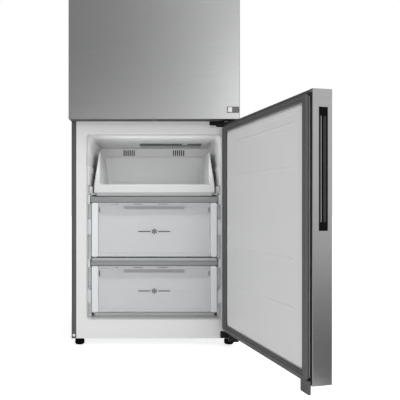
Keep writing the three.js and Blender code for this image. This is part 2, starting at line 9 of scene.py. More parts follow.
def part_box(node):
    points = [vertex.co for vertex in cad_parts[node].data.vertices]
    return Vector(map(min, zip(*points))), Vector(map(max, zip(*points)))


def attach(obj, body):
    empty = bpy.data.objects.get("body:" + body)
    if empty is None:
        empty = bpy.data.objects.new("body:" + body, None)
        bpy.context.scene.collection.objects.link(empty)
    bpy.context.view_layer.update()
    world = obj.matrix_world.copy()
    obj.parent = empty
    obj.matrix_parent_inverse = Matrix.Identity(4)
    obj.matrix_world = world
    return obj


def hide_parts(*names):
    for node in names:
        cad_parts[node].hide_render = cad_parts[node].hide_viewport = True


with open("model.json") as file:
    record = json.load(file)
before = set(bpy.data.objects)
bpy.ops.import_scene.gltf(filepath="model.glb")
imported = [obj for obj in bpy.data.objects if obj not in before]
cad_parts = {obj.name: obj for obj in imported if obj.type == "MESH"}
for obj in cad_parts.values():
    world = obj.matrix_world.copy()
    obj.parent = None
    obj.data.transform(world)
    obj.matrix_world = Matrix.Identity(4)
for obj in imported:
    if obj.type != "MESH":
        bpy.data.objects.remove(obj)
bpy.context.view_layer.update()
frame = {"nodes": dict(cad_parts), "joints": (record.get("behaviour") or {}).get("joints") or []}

# ------------------------------------------------------------------ where things are
# Shapes are drawn in millimetres from the front face of the cabinet (Y = 0), its middle
# (X = 0) and the floor (Z = 0). CABINET and the door places turn that into metres.

wrapper_low, wrapper_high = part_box("cabinet_wrapper")
CABINET = Matrix.Translation(
    ((wrapper_low.x + wrapper_high.x) / 2, wrapper_low.y, 0)
) @ Matrix.Scale(0.001, 4)
TO_CABINET = CABINET.inverted()


def limits(node):
    """A CAD node's stretch on each axis, in the drawing's millimetres."""
    low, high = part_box(node)
    return tuple(zip(TO_CABINET @ low, TO_CABINET @ high))


joints = {joint["name"]: joint for joint in frame["joints"]}
freezer_hinge = joints["freezer_door_hinge"]
HINGE_POINT = Vector(freezer_hinge["pos_m"])
HINGE = TO_CABINET @ HINGE_POINT
FREEZER_DOOR = (
    Matrix.Translation(HINGE_POINT)
    @ Matrix.Rotation(math.radians(-freezer_hinge["range_deg"][0]), 4, "Z")
    @ Matrix.Translation(-HINGE_POINT)
    @ CABINET
)
FRIDGE_DOOR = CABINET

(SIDE_LEFT, SIDE_RIGHT), (_, CABINET_BACK), (CABINET_BOTTOM, CABINET_TOP) = limits("cabinet_wrapper")
HALF_WIDTH = SIDE_RIGHT
SHEET = 1.2
OPENING = 241.7
WALL = OPENING + 1
CAVITY_BACK = 538
STEP_FRONT = 335
STEP_TOP = 280

MIDDLE = 0.01  # the radius at which a turned shape closes on its axis
SIDES = ("left", "right")

# ------------------------------------------------------------------ drawing helpers


def rounded(u, v, radius, steps=5):
    """Corner points of a rounded rectangle, round from its lower right corner."""
    (u0, u1), (v0, v1) = u, v
    radius = max(0.05, min(radius, (u1 - u0) / 2 - 0.05, (v1 - v0) / 2 - 0.05))
    points = []
    for cu, cv, start in (
        (u1 - radius, v0 + radius, -90),
        (u1 - radius, v1 - radius, 0),
        (u0 + radius, v1 - radius, 90),
        (u0 + radius, v0 + radius, 180),
    ):
        for step in range(steps + 1):
            angle = math.radians(start + 90 * step / steps)
            points.append((cu + radius * math.cos(angle), cv + radius * math.sin(angle)))
    return points


def shrink(stretch, amount):
    return (stretch[0] + amount, stretch[1] - amount)


def lift(points, axis, level):
    """Points of a flat outline put at a level along an axis, in X, Y, Z order."""
    order = {
        "x": lambda u, v: (level, u, v),
        "y": lambda u, v: (u, level, v),
        "z": lambda u, v: (u, v, level),
    }
    return [Vector(order[axis](u, v)) for u, v in points]


def loft(bm, rings, cap=(True, True), round_trip=False, open_rings=False):
    """Skins a run of rings that have the same number of points."""
    made = [[bm.verts.new(point) for point in ring] for ring in rings]
    count = len(made[0])
    pairs = list(zip(made, made[1:]))
    if round_trip:
        pairs.append((made[-1], made[0]))
    for near, far in pairs:
        for i in range(count - (1 if open_rings else 0)):
            j = (i + 1) % count
            bm.faces.new((near[i], near[j], far[j], far[i]))
    if open_rings:
        bm.faces.new([ring[0] for ring in made])
        bm.faces.new([ring[-1] for ring in reversed(made)])
    elif not round_trip:
        if cap[0]:
            bm.faces.new(list(reversed(made[0])))
        if cap[1]:
            bm.faces.new(made[-1])
    return made


def prism(bm, outline, axis, low, high, edge=0.0, steps=2):
    """An outline drawn out along an axis, its two end rims rounded by edge."""
    ends = loft(bm, [lift(outline, axis, low), lift(outline, axis, high)])
    if edge:
        rims = []
        for ring in ends:
            for i, vert in enumerate(ring):
                rims.append(bm.edges.get((vert, ring[(i + 1) % len(ring)])))
        bmesh.ops.bevel(bm, geom=rims, offset=edge, segments=steps, affect="EDGES", profile=0.5)


def slab(bm, x, y, z, edge=0.0, steps=2):
    """A block with rounded edges."""
    centre = Vector(((x[0] + x[1]) / 2, (y[0] + y[1]) / 2, (z[0] + z[1]) / 2))
    size = Matrix.Diagonal((x[1] - x[0], y[1] - y[0], z[1] - z[0], 1))
    made = bmesh.ops.create_cube(bm, size=1, matrix=Matrix.Translation(centre) @ size)["verts"]
    if edge:
        edges = list({e for vert in made for e in vert.link_edges})
        bmesh.ops.bevel(bm, geom=edges, offset=edge, segments=steps, affect="EDGES", profile=0.5)


def slab_pair(bm, near, far, y, z, edge=0.0, steps=2):
    """The same block on the left and on the right, near to far from the middle."""
    for side in (-1, 1):
        slab(bm, sorted((side * near, side * far)), y, z, edge, steps)


def stepped(bm, u, v, corner, axis, section, ease=0.0, steps=5):
    """A rounded rectangle drawn out along an axis, in by each (inset, level) of the section."""
    loft(bm, [
        lift(rounded(shrink(u, inset), shrink(v, inset), corner - inset * ease, steps), axis, level)
        for inset, level in section
    ])


def lathe(bm, profile, centre, axis="z", steps=40):
    """Turns (radius, height) points round an axis and closes both ends flat."""
    rings = []
    for radius, height in profile:
        ring = []
        for i in range(steps):
            angle = 2 * math.pi * i / steps
            u, v = radius * math.cos(angle), radius * math.sin(angle)
            if axis == "z":
                ring.append(Vector((centre[0] + u, centre[1] + v, height)))
            elif axis == "y":
                ring.append(Vector((centre[0] + u, height, centre[1] + v)))
            else:
                ring.append(Vector((height, centre[0] + u, centre[1] + v)))
        rings.append(ring)
    loft(bm, rings)


def tube(bm, path, radius, sides=10):
    """A round pipe along a path, with flat ends."""
    path = [Vector(point) for point in path]
    rings = []
    side = None
    for i, point in enumerate(path):
        ahead = (path[min(i + 1, len(path) - 1)] - path[max(i - 1, 0)]).normalized()
        if side is None:
            side = ahead.orthogonal().normalized()
        side = (side - ahead * side.dot(ahead)).normalized()
        other = ahead.cross(side)
        rings.append(
            [
                point + radius * (math.cos(a) * side + math.sin(a) * other)
                for a in (2 * math.pi * k / sides for k in range(sides))
            ]
        )
    loft(bm, rings)


def around(bm, x, z, section, corner, axis="y", steps=5):
    """Runs a closed cross-section round a rounded rectangle.

    The section's points are (distance in from the rectangle, level along the axis)."""
    rings = [
        lift(rounded(shrink(x, inset), shrink(z, inset), max(corner - inset, 1.2), steps), axis, level)
        for inset, level in section
    ]
    loft(bm, rings, round_trip=True)


def outward(bm):
    bmesh.ops.remove_doubles(bm, verts=bm.verts, dist=0.002)
    bmesh.ops.recalc_face_normals(bm, faces=bm.faces)


def in_scene(name, data):
    thing = bpy.data.objects.new(name, data)
    bpy.context.scene.collection.objects.link(thing)
    return thing


def mesh_object(name, bm):
    """The drawn shape as an object of the scene; the drawing is used up."""
    outward(bm)
    mesh = bpy.data.meshes.new(name)
    bm.to_mesh(mesh)
    bm.free()
    return in_scene(name, mesh)


def settle(thing):
    """Swaps the object's mesh for what its modifiers make of it."""
    bpy.context.view_layer.update()
    graph = bpy.context.evaluated_depsgraph_get()
    result = bpy.data.meshes.new_from_object(thing.evaluated_get(graph))
    old = thing.data
    thing.modifiers.clear()
    thing.data = result
    bpy.data.meshes.remove(old)


def taken_back(thing):
    """The object's mesh as a new bmesh; the object is removed."""
    bm = bmesh.new()
    bm.from_mesh(thing.data)
    mesh = thing.data
    bpy.data.objects.remove(thing)
    bpy.data.meshes.remove(mesh)
    return bm


def carved(bm, *cutters):
    """The solid with the cutters' solids taken away, as a new bmesh."""
    body = mesh_object("body", bm)
    tools = [mesh_object("tool", cutter) for cutter in cutters]
    for tool in tools:
        boolean = body.modifiers.new("cut", "BOOLEAN")
        boolean.operation = "DIFFERENCE"
        boolean.solver = "EXACT"
        boolean.object = tool
    settle(body)
    for tool in tools:
        taken_back(tool).free()
    return taken_back(body)


def piece(name, bm, material, body, replaces=(), place=CABINET, sharp=38, weighted=True):
    """Turns a drawn shape into a finished piece that rides on a body."""
    thing = mesh_object(name, bm)
    thing.data.transform(place)
    thing.data.name = name
    thing.data.materials.append(material)
    thing.data.shade_smooth()
    thing.data.set_sharp_from_angle(angle=math.radians(sharp))
    if weighted:
        normals = thing.modifiers.new("normals", "WEIGHTED_NORMAL")
        normals.keep_sharp = True
        settle(thing)
        thing.data.name = name
    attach(thing, body)
    if replaces:
        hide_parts(*replaces)
    return thing


# ------------------------------------------------------------------ finishes


class Nodes:
    """A material's node tree with short ways to add to it."""

    def __init__(self, name):
        self.material = bpy.data.materials.new(name)
        self.material.use_nodes = True
        self.tree = self.material.node_tree
        self.shader = self.tree.nodes["Principled BSDF"]

    def add(self, kind, **settings):
        node = self.tree.nodes.new(kind)
        for key, value in settings.items():
            if key in node.inputs:
                node.inputs[key].default_value = value
            else:
                setattr(node, key, value)
        return node

    def link(self, source, target):
        self.tree.links.new(source, target)

    def stretched(self, scale):
        coordinates = self.add("ShaderNodeTexCoord")
        mapping = self.add("ShaderNodeMapping", Scale=scale)
        self.link(coordinates.outputs["Object"], mapping.inputs["Vector"])
        return mapping.outputs["Vector"]

    def noise(self, scale, size=1.0, detail=3.0, roughness=0.55):
        node = self.add("ShaderNodeTexNoise", Scale=size, Detail=detail, Roughness=roughness)
        self.link(self.stretched(scale), node.inputs["Vector"])
        return node.outputs["Fac"]

    def spread(self, source, low, high):
        """A noise's middle stretch mapped to low..high."""
        node = self.add("ShaderNodeMapRange")
        node.inputs["From Min"].default_value = 0.3
        node.inputs["From Max"].default_value = 0.7
        node.inputs["To Min"].default_value = low
        node.inputs["To Max"].default_value = high
        self.link(source, node.inputs["Value"])
        return node.outputs["Result"]

    def blend(self, factor, first, second):
        node = self.add("ShaderNodeMix", data_type="RGBA")
        self.link(factor, node.inputs[0])
        node.inputs[6].default_value = (*first, 1)
        node.inputs[7].default_value = (*second, 1)
        return node.outputs[2]

    def bump(self, height, strength, distance):
        node = self.add("ShaderNodeBump", Strength=strength, Distance=distance)
        self.link(height, node.inputs["Height"])
        self.link(node.outputs["Normal"], self.shader.inputs["Normal"])

    def set(self, **sockets):
        for key, value in sockets.items():
            self.shader.inputs[key.replace("_", " ")].default_value = value


def tinted(colour, amount):
    return tuple(max(0.0, min(1.0, channel * (1 + amount))) for channel in colour)


def moulded(name, colour, roughness, grain=900.0, tint=0.05, relief=0.25, **sockets):
    """Moulded plastic or paint: faint clouding, fine surface texture, uneven gloss."""
    finish = Nodes(name)
    cloud = finish.noise((6, 6, 6), detail=4)
    fine = finish.noise((grain, grain, grain), detail=2)
    finish.link(
        finish.blend(finish.spread(cloud, 0, 1), tinted(colour, -tint), tinted(colour, tint)),
        finish.shader.inputs["Base Color"],
    )
    finish.link(finish.spread(fine, roughness - 0.05, roughness + 0.06), finish.shader.inputs["Roughness"])
    finish.bump(fine, relief, 0.0002)
    finish.set(**sockets)
    return finish.material


def brushed(name, colour, roughness, streak, tint, relief, swing=0.03, **sockets):
    """Metal brushed along the horizontal: long fine streaks in colour, gloss and relief."""
    finish = Nodes(name)
    broad = finish.noise((streak / 3, streak / 3, 330), detail=4)
    fine = finish.noise((streak, streak, 1500), detail=3)
    both = finish.add("ShaderNodeMix", data_type="FLOAT")
    both.inputs[0].default_value = 0.62
    finish.link(broad, both.inputs[2])
    finish.link(fine, both.inputs[3])
    mixed = both.outputs[0]
    finish.link(
        finish.blend(finish.spread(mixed, 0, 1), tinted(colour, -tint), tinted(colour, tint)),
        finish.shader.inputs["Base Color"],
    )
    finish.link(finish.spread(mixed, roughness - swing, roughness + swing), finish.shader.inputs["Roughness"])
    finish.bump(fine, relief, 0.0002)
    tangent = finish.add("ShaderNodeTangent", direction_type="RADIAL", axis="Z")
    finish.link(tangent.outputs["Tangent"], finish.shader.inputs["Tangent"])
    finish.set(Metallic=1.0, Anisotropic=0.55, Anisotropic_Rotation=0.25, **sockets)
    return finish.material


def spangled(name, colour, roughness):
    """Zinc-coated sheet with its crystal pattern."""
    finish = Nodes(name)
    cells = finish.add("ShaderNodeTexVoronoi", Scale=1.0)
    finish.link(finish.stretched((90, 90, 90)), cells.inputs["Vector"])
    grey = finish.add("ShaderNodeSeparateColor")
    finish.link(cells.outputs["Color"], grey.inputs["Color"])
    tone = grey.outputs["Red"]
    mixed = finish.blend(tone, tinted(colour, -0.12), tinted(colour, 0.12))
    finish.link(mixed, finish.shader.inputs["Base Color"])
    finish.link(finish.spread(tone, roughness - 0.06, roughness + 0.06), finish.shader.inputs["Roughness"])
    finish.bump(finish.noise((400, 400, 400)), 0.2, 0.0002)
    finish.set(Metallic=0.75)
    return finish.material


def clear(name, colour, roughness, solidity, tint=0.04, **sockets):
    """Clear or frosted plastic and glass; solidity is how much of what is behind it hides."""
    finish = Nodes(name)
    cloud = finish.noise((9, 9, 9), detail=3)
    finish.link(
        finish.blend(finish.spread(cloud, 0, 1), tinted(colour, -tint), tinted(colour, tint)),
        finish.shader.inputs["Base Color"],
    )
    finish.link(finish.spread(cloud, roughness, roughness + 0.01), finish.shader.inputs["Roughness"])
    finish.bump(finish.noise((300, 300, 300)), 0.05, 0.0002)
    finish.set(Alpha=solidity, **sockets)
    finish.material.surface_render_method = "BLENDED"
    return finish.material


STEEL = brushed("brushed_steel", (0.40, 0.402, 0.405), 0.30, 24, 0.06, 0.03, 0.02)
CABINET_PAINT = moulded("cabinet_paint", (0.086, 0.088, 0.09), 0.42, grain=1400, relief=0.3, Metallic=0.25)
ZINC = spangled("zinc_sheet", (0.42, 0.43, 0.44), 0.42)
HINGE_PAINT = moulded(
    "hinge_paint", (0.008, 0.008, 0.0085), 0.45, grain=1600, tint=0.2, relief=0.4, Specular_IOR_Level=0.2
)
FINS = brushed("aluminium_fins", (0.72, 0.73, 0.74), 0.34, 60, 0.05, 0.08)
LINER = moulded("liner_plastic", (0.80, 0.805, 0.80), 0.34, grain=700, tint=0.012, relief=0.12)
PANEL = moulded("door_panel_plastic", (0.78, 0.785, 0.78), 0.38, grain=700, tint=0.012, relief=0.15)
TRAY_WHITE = moulded("tray_plastic", (0.77, 0.775, 0.775), 0.32, grain=700, tint=0.01, relief=0.1)
TRIM = moulded("shelf_trim", (0.27, 0.285, 0.29), 0.32, grain=500, tint=0.06, relief=0.1)
DARK_TRIM = moulded("dark_trim", (0.075, 0.077, 0.08), 0.45, grain=1200, tint=0.08, relief=0.4)
BLACK = moulded(
    "black_plastic", (0.004, 0.004, 0.0042), 0.5, grain=1300, tint=0.25, relief=0.3, Specular_IOR_Level=0.05
)
# Near-black for the thin strip round the back of each door: a painted shadow of the groove between the steel
# side and the inner panel.
GROOVE_SHADOW_BLACK = moulded(
    "edge_strip", (0.02, 0.0205, 0.021), 0.5, grain=1200, tint=0.1, relief=0.3, Specular_IOR_Level=0.2
)
GRIP_GREY = moulded(
    "grip_plastic", (0.036, 0.0365, 0.038), 0.5, grain=1200, tint=0.1, relief=0.3, Specular_IOR_Level=0.25
)
INK = moulded("drawer_print", (0.055, 0.055, 0.06), 0.5, grain=1300, tint=0.1, relief=0.2)
RUBBER = moulded("gasket_rubber", (0.095, 0.096, 0.099), 0.55, grain=1100, tint=0.08, relief=0.35)
FOAM = moulded("insulating_foam", (0.72, 0.64, 0.42), 0.85, grain=300, tint=0.1, relief=1.0)
GLASS = clear("shelf_glass", (0.62, 0.74, 0.70), 0.04, 0.22, IOR=1.5)
FROSTED = clear("clear_drawer", (0.96, 0.975, 0.99), 0.24, 0.36, tint=0.008, IOR=1.45)
FROSTED_SIDE = clear("clear_drawer_side", (0.92, 0.95, 0.98), 0.24, 0.86, tint=0.008, IOR=1.45)
FROSTED_THICK = clear("clear_drawer_rail", (0.16, 0.168, 0.175), 0.30, 0.6, tint=0.01, IOR=1.45)
# Pale grey see-through plastic for the drawers' floor mats; also the strip above the lower freezer shelf's
# trim, which is a painted highlight on the trim's top edge.
PALE_PLASTIC_AND_HIGHLIGHT = clear("shelf_trim_lip", (0.50, 0.52, 0.53), 0.3, 0.9, tint=0.02, IOR=1.45)
PLATE = brushed("badge_plate", (0.48, 0.48, 0.485), 0.28, 60, 0.04, 0.05)
BADGE_DARK = moulded("badge_field", (0.15, 0.15, 0.155), 0.5, grain=1300, tint=0.05, relief=0.1)

# CAD nodes that are kept as they are, with their finish.
KEPT = {
    "cabinet_foam": FOAM, "fridge_door_foam": FOAM, "freezer_door_foam": FOAM,
    "base_pan": ZINC, "compressor_base": ZINC, "top_hinge": ZINC, "machine_cover": ZINC,
    "evaporator": FINS, "evaporator_cover": LINER, "evaporator_fan": TRIM,
    "drip_tray": DARK_TRIM, "cord_gland": BLACK,
}
for node, material in KEPT.items():
    slots = frame["nodes"][node].data.materials
    if slots:
        for index in range(len(slots)):
            slots[index] = material
    else:
        slots.append(material)

# ------------------------------------------------------------------ repeats


def new_tree(name, inputs):
    """A Geometry Nodes tree with its sockets, and the node that gives its inputs."""
    tree = bpy.data.node_groups.new(name, "GeometryNodeTree")
    for label, kind in (("Geometry", "Geometry"), *inputs, ("Finish", "Material")):
        tree.interface.new_socket(label, in_out="INPUT", socket_type="NodeSocket" + kind)
    tree.interface.new_socket("Geometry", in_out="OUTPUT", socket_type="NodeSocketGeometry")
    return tree, tree.nodes.new("NodeGroupInput")


def real_copies(tree, shape, points, turn=None):
    """The shape set on every point, as real geometry."""
    copies = tree.nodes.new("GeometryNodeInstanceOnPoints")
    tree.links.new(points, copies.inputs["Points"])
    tree.links.new(shape, copies.inputs["Instance"])
    if turn:
        tree.links.new(turn, copies.inputs["Rotation"])
    real = tree.nodes.new("GeometryNodeRealizeInstances")
    tree.links.new(copies.outputs["Instances"], real.inputs["Geometry"])
    return real.outputs["Geometry"]


def paint_and_end(tree, given, geometry):
    """The last nodes: the finish on everything, then out."""
    paint = tree.nodes.new("GeometryNodeSetMaterial")
    tree.links.new(geometry, paint.inputs["Geometry"])
    tree.links.new(given.outputs["Finish"], paint.inputs["Material"])
    out = tree.nodes.new("NodeGroupOutput")
    tree.links.new(paint.outputs["Geometry"], out.inputs["Geometry"])


def repeat_tree():
    """Copies of a shape along a row, and that row along another, in one material."""
    tree, given = new_tree(
        "rows_of_copies", (("Count", "Int"), ("Step", "Vector"), ("Rows", "Int"), ("Row Step", "Vector"))
    )
    result = given.outputs["Geometry"]
    for count, step in (("Count", "Step"), ("Rows", "Row Step")):
        line = tree.nodes.new("GeometryNodeMeshLine")
        tree.links.new(given.outputs[count], line.inputs["Count"])
        tree.links.new(given.outputs[step], line.inputs["Offset"])
        result = real_copies(tree, result, line.outputs["Mesh"])
    paint_and_end(tree, given, result)
    return tree


def ring_tree():
    """Copies of a shape turned about an axis through a centre."""
    tree, given = new_tree("ring_of_copies", (("Count", "Int"), ("Centre", "Vector"), ("Axis", "Vector")))
    nodes, links = tree.nodes, tree.links
    back = nodes.new("ShaderNodeVectorMath")
    back.operation = "SCALE"
    back.inputs["Scale"].default_value = -1.0
    links.new(given.outputs["Centre"], back.inputs[0])
    centred = nodes.new("GeometryNodeTransform")
    links.new(given.outputs["Geometry"], centred.inputs["Geometry"])
    links.new(back.outputs[0], centred.inputs["Translation"])
    line = nodes.new("GeometryNodeMeshLine")
    links.new(given.outputs["Count"], line.inputs["Count"])
    links.new(given.outputs["Centre"], line.inputs["Start Location"])
    line.inputs["Offset"].default_value = (0, 0, 0)
    index = nodes.new("GeometryNodeInputIndex")
    share = nodes.new("ShaderNodeMath")
    share.operation = "DIVIDE"
    links.new(index.outputs[0], share.inputs[0])
    links.new(given.outputs["Count"], share.inputs[1])
    angle = nodes.new("ShaderNodeMath")
    angle.operation = "MULTIPLY"
    angle.inputs[1].default_value = 2 * math.pi
    links.new(share.outputs[0], angle.inputs[0])
    turn = nodes.new("ShaderNodeVectorMath")
    turn.operation = "SCALE"
    links.new(given.outputs["Axis"], turn.inputs[0])
    links.new(angle.outputs[0], turn.inputs["Scale"])
    copies = real_copies(tree, centred.outputs["Geometry"], line.outputs["Mesh"], turn.outputs[0])
    paint_and_end(tree, given, copies)
    return tree


ROWS = repeat_tree()
RING = ring_tree()


def repeated(bm, tree, inputs):
    """The drawn shape repeated by a tree, as a new bmesh in the drawing's millimetres."""
    thing = mesh_object("repeat", bm)
    maker = thing.modifiers.new("repeat", "NODES")
    maker.node_group = tree
    for item in tree.interface.items_tree:
        if item.in_out == "INPUT" and item.name in inputs:
            maker[item.identifier] = inputs[item.name]
    settle(thing)
    return taken_back(thing)


def in_rows(bm, finish, count, step, rows=1, row_step=(0, 0, 1)):
    given = {"Finish": finish, "Count": count, "Step": step, "Rows": rows, "Row Step": row_step}
    return repeated(bm, ROWS, given)


def in_a_ring(bm, finish, count, centre, axis):
    return repeated(bm, RING, {"Finish": finish, "Count": count, "Centre": centre, "Axis": axis})


def joined(*shapes):
    """Several drawn shapes as one."""
    whole = shapes[0]
    for other in shapes[1:]:
        mesh = bpy.data.meshes.new("part")
        other.to_mesh(mesh)
        whole.from_mesh(mesh)
        other.free()
        bpy.data.meshes.remove(mesh)
    return whole


def draw(*calls):
    """A new bmesh with the given (helper, arguments...) calls made on it."""
    bm = bmesh.new()
    for helper, *arguments in calls:
        helper(bm, *arguments)
    return bm


# ------------------------------------------------------------------ cabinet shell


def wrapper_path(inset, level):
    """The sheet seen from the front: up one side, across the top and down the other."""
    x = HALF_WIDTH - inset
    top = CABINET_TOP - inset
    radius = max(2.4 - inset, 0.4)
    points = [(-x, CABINET_BOTTOM)]
    for centre, start in ((-x + radius, 180), (x - radius, 90)):
        for step in range(5):
            angle = math.radians(start - 90 * step / 4)
            points.append((centre + radius * math.cos(angle), top - radius + radius * math.sin(angle)))
    points.append((x, CABINET_BOTTOM))
    return lift(points, "y", level)


def make_wrapper():
    strip = 17
    section = (
        (0, CABINET_BACK), (0, 1.6), (0.5, 0.5), (1.6, 0), (strip - 0.5, 0), (strip, 0.5),
        (strip, SHEET), (SHEET, SHEET + 0.2), (SHEET, CABINET_BACK),
    )
    bm = bmesh.new()
    loft(bm, [wrapper_path(*point) for point in section], round_trip=True, open_rings=True)
    piece("cabinet_shell", bm, CABINET_PAINT, "cabinet", ["cabinet_wrapper"])


def screw_head(bm, x, y, z, radius=4.0, high=1.3, axis="y", facing=1):
    """A domed screw head with a hollow in its middle."""
    level = y if axis == "y" else z
    centre = (x, z) if axis == "y" else (x, y)
    shape = ((0, 1.0), (0.35, 1.0), (0.8, 0.8), (1.0, 0.3), (0.55, MIDDLE / radius))
    profile = [(radius * across, level + facing * high * up) for up, across in shape]
    lathe(bm, [(MIDDLE, level), *profile], centre, axis, 16)


def make_rear_panel():
    (x0, x1), (_, back), (z0, z1) = limits("rear_panel")
    skin = back - 2.2
    outer = skin + SHEET
    bm = bmesh.new()
    edge = [
        (0, outer - 1.6), (0, outer), (0, back - 0.6), (0.6, back), (9, back), (10, back - 0.6),
        (12, outer), (12, outer - 1.6),
    ]
    around(bm, (x0, x1), (z0, z1), edge, 4)
    slab(bm, (x0 + 4, x1 - 4), (skin, outer), (z0 + 4, z1 - 4))
    bead = ((0, outer - 0.2), (5, back - 0.5), (7, back - 0.3))
    for x in (-190, 0, 190):
        stepped(bm, (x - 26, x + 26), (z0 + 120, z1 - 120), 20, "y", bead)
    screw = draw((screw_head, x0 + 22, outer - 0.1, z0 + 24, 4.0, 1.1))
    screws = in_rows(screw, ZINC, 2, (x1 - x0 - 44, 0, 0), 6, (0, 0, (z1 - z0 - 48) / 5))
    piece("rear_sheet", joined(bm, screws), ZINC, "cabinet", ["rear_panel"])


def room_outline(front, bottom, top, stepped_floor, wall=0):
    """A compartment seen from the side, its back, floor and ceiling out by a wall."""
    back, low, high = CAVITY_BACK + wall, bottom - wall, top + wall
    if not stepped_floor:
        return [(front, low), (back, low), (back, high), (front, high)]
    step = (STEP_FRONT + wall, STEP_TOP - wall)
    return [(front, low), (step[0], low), step, (back, step[1]), (back, high), (front, high)]


def room_block(front, bottom, top, stepped_floor, wall=0):
    bm = bmesh.new()
    outline = room_outline(front, bottom, top, stepped_floor, wall)
    loft(bm, [lift(outline, "x", -OPENING - wall), lift(outline, "x", OPENING + wall)])
    return bm


def cavity(bottom, top, stepped_floor, radius=13.0):
    """The room inside a liner, its inner edges rounded, running out through the front."""
    front = -3.0
    bm = room_block(front, bottom, top, stepped_floor)
    edges = [e for e in bm.edges if max(v.co.y for v in e.verts) > front + 1]
    bmesh.ops.bevel(
        bm, geom=edges, offset=radius, segments=4, affect="EDGES", profile=0.5, clamp_overlap=True
    )
    return bm


def mouth(bottom, top, radius=5.0):
    """The flare that rounds the edge where the room meets the flange."""
    section = [(-radius, -3.0)]
    for step in range(6):
        angle = math.radians(90 * step / 5)
        section.append((-radius * (1 - math.sin(angle)), radius * (1 - math.cos(angle))))
    section.append((0.02, radius + 12))
    return draw((stepped, (-OPENING, OPENING), (bottom, top), 13.0, "y", section, 1.0))


def make_liner(name, node, bottom, top, stepped_floor, extras):
    x, _, z = limits(node)
    flange = draw((prism, rounded(x, z, 1.5, 3), "y", 0, 2.0))
    flange = carved(flange, cavity(bottom, top, stepped_floor, 12.8), mouth(bottom, top))
    shell = room_block(0.2, bottom, top, stepped_floor, 2)
    shell = carved(shell, cavity(bottom, top, stepped_floor), mouth(bottom, top))
    body = joined(flange, shell, extras)
    piece(name, body, LINER, "cabinet", [node], sharp=40)


def ledge_pair(bm, top, front, back, inner=222, high=7.0):
    slab_pair(bm, inner, WALL, (front, back), (top - high, top), 1.6, 2)


def boss_pair(bm, z):
    """A raised guide on each side wall with sloping ends."""
    for side in (-1, 1):
        low = lift(rounded((22, 208), z, 9), "x", side * WALL)
        rim = lift(rounded((31, 199), shrink(z, 3.6), 7.6), "x", side * 237.0)
        high = lift(rounded((34, 196), shrink(z, 5), 7), "x", side * 236.2)
        loft(bm, [low, rim, high])


def make_liners():
    extras = bmesh.new()
    for shelf in ("freezer_shelf_upper_glass", "freezer_shelf_lower_glass"):
        ledge_pair(extras, limits(shelf)[2][0] - 0.4, 60, 450)
    ledge_pair(extras, 548.6, 60, 430, 210)
    ledge_pair(extras, 315.6, 60, 430, 212)
    ledge_pair(extras, 112.6, 60, STEP_FRONT + 1, 212)
    for z in ((572, 650), (397, 447), (143, 203)):
        boss_pair(extras, z)
    for rib, pad in (((303, 511), (395, 454)), ((94, 281), (144, 194))):
        slab_pair(extras, 230.5, WALL, (44, 64), rib, 4, 3)
        slab_pair(extras, 230, WALL, (32, 80), pad, 4, 3)
    slab(extras, (-224, 224), (60, 76), (94, 105), 3, 3)
    for z in ((276, 308), (506, 542)):
        slab_pair(extras, 234.5, WALL, (32, 66), z, 2, 2)
    slab_pair(extras, 228, WALL, (60, 90), (537, 574), 4, 3)
    make_liner("freezer_inner_liner", "freezer_liner", 95, 757, True, extras)

    extras = bmesh.new()
    for node in ("fridge_shelf_top_glass", "fridge_shelf_middle_glass", "crisper_cover_glass"):
        _, (front, back), (bottom, _) = limits(node)
        ledge_pair(extras, bottom - 0.4, front + 20, back)
    for z in (1150, 1385, 1640):
        slab_pair(extras, 236.5, WALL, (142, 500), (z - 5, z + 5), 2.2, 2)
    ledge_pair(extras, 851, 112, 505, 190)
    make_liner("fridge_inner_liner", "fridge_liner", 845, 1785, False, extras)


def make_tray_stops():
    bm = bmesh.new()
    slab_pair(bm, 227.5, OPENING, (140, 164), (610, 632), 2.4, 3)
    slab_pair(bm, 224.5, 229, (143, 161), (614, 622), 1.0, 2)
    piece("tray_stops", bm, DARK_TRIM, "cabinet")


# ------------------------------------------------------------------ hinges and plug

FLAT = -0.4  # the back of the hinge plates, just in front of the flange


def arc(x, y, radius, start, end, steps):
    """Points along a part of a circle, its angles in degrees."""
    angles = [math.radians(start + (end - start) * step / steps) for step in range(steps + 1)]
    return [(x + radius * math.cos(angle), y + radius * math.sin(angle)) for angle in angles]


def hinge_pin(bm, low, high):
    profile = [(MIDDLE, low), (3.2, low), (4, low + 0.8), (4, high - 0.8), (3.2, high), (MIDDLE, high)]
    lathe(bm, profile, (HINGE.x, HINGE.y), "z", 20)


def make_middle_hinge():
    x, y = HINGE.x, HINGE.y
    plate = draw((prism, rounded((198, 252), (790, 808), 3), "y", -4, FLAT, 0.6))
    slab(plate, (222, 252), (-4, FLAT), (784, 791), 0.6)
    for screw_x, screw_z in ((207, 799.5), (242, 801)):
        screw_head(plate, screw_x, -4, screw_z, 4.4, 1.6, "y", -1)
    arm = [(205, FLAT), (205, -9), *arc(x, y, 14, -162, 0, 12), (x + 14, -14), (258, FLAT)]
    prism(plate, arm, "z", 789, 796, 0.8)
    hinge_pin(plate, 772, 789.5)
    hinge_pin(plate, 795.5, 814)
    lathe(plate, [(MIDDLE, 796), (8, 796), (8, 797.2), (4.2, 798), (MIDDLE, 798)], (x, y), "z", 24)
    piece("middle_hinge_bracket", plate, HINGE_PAINT, "cabinet", ["middle_hinge"])

    spacer = draw((prism, rounded((198, 221.6), (779, 788.6), 2), "y", -6, FLAT, 0.8))
    slab(spacer, (201, 218), (-6.0, -5.0), (782.4, 785.2), 0.4)
    piece("middle_hinge_pad", spacer, PANEL, "cabinet", ["middle_hinge_spacer"])


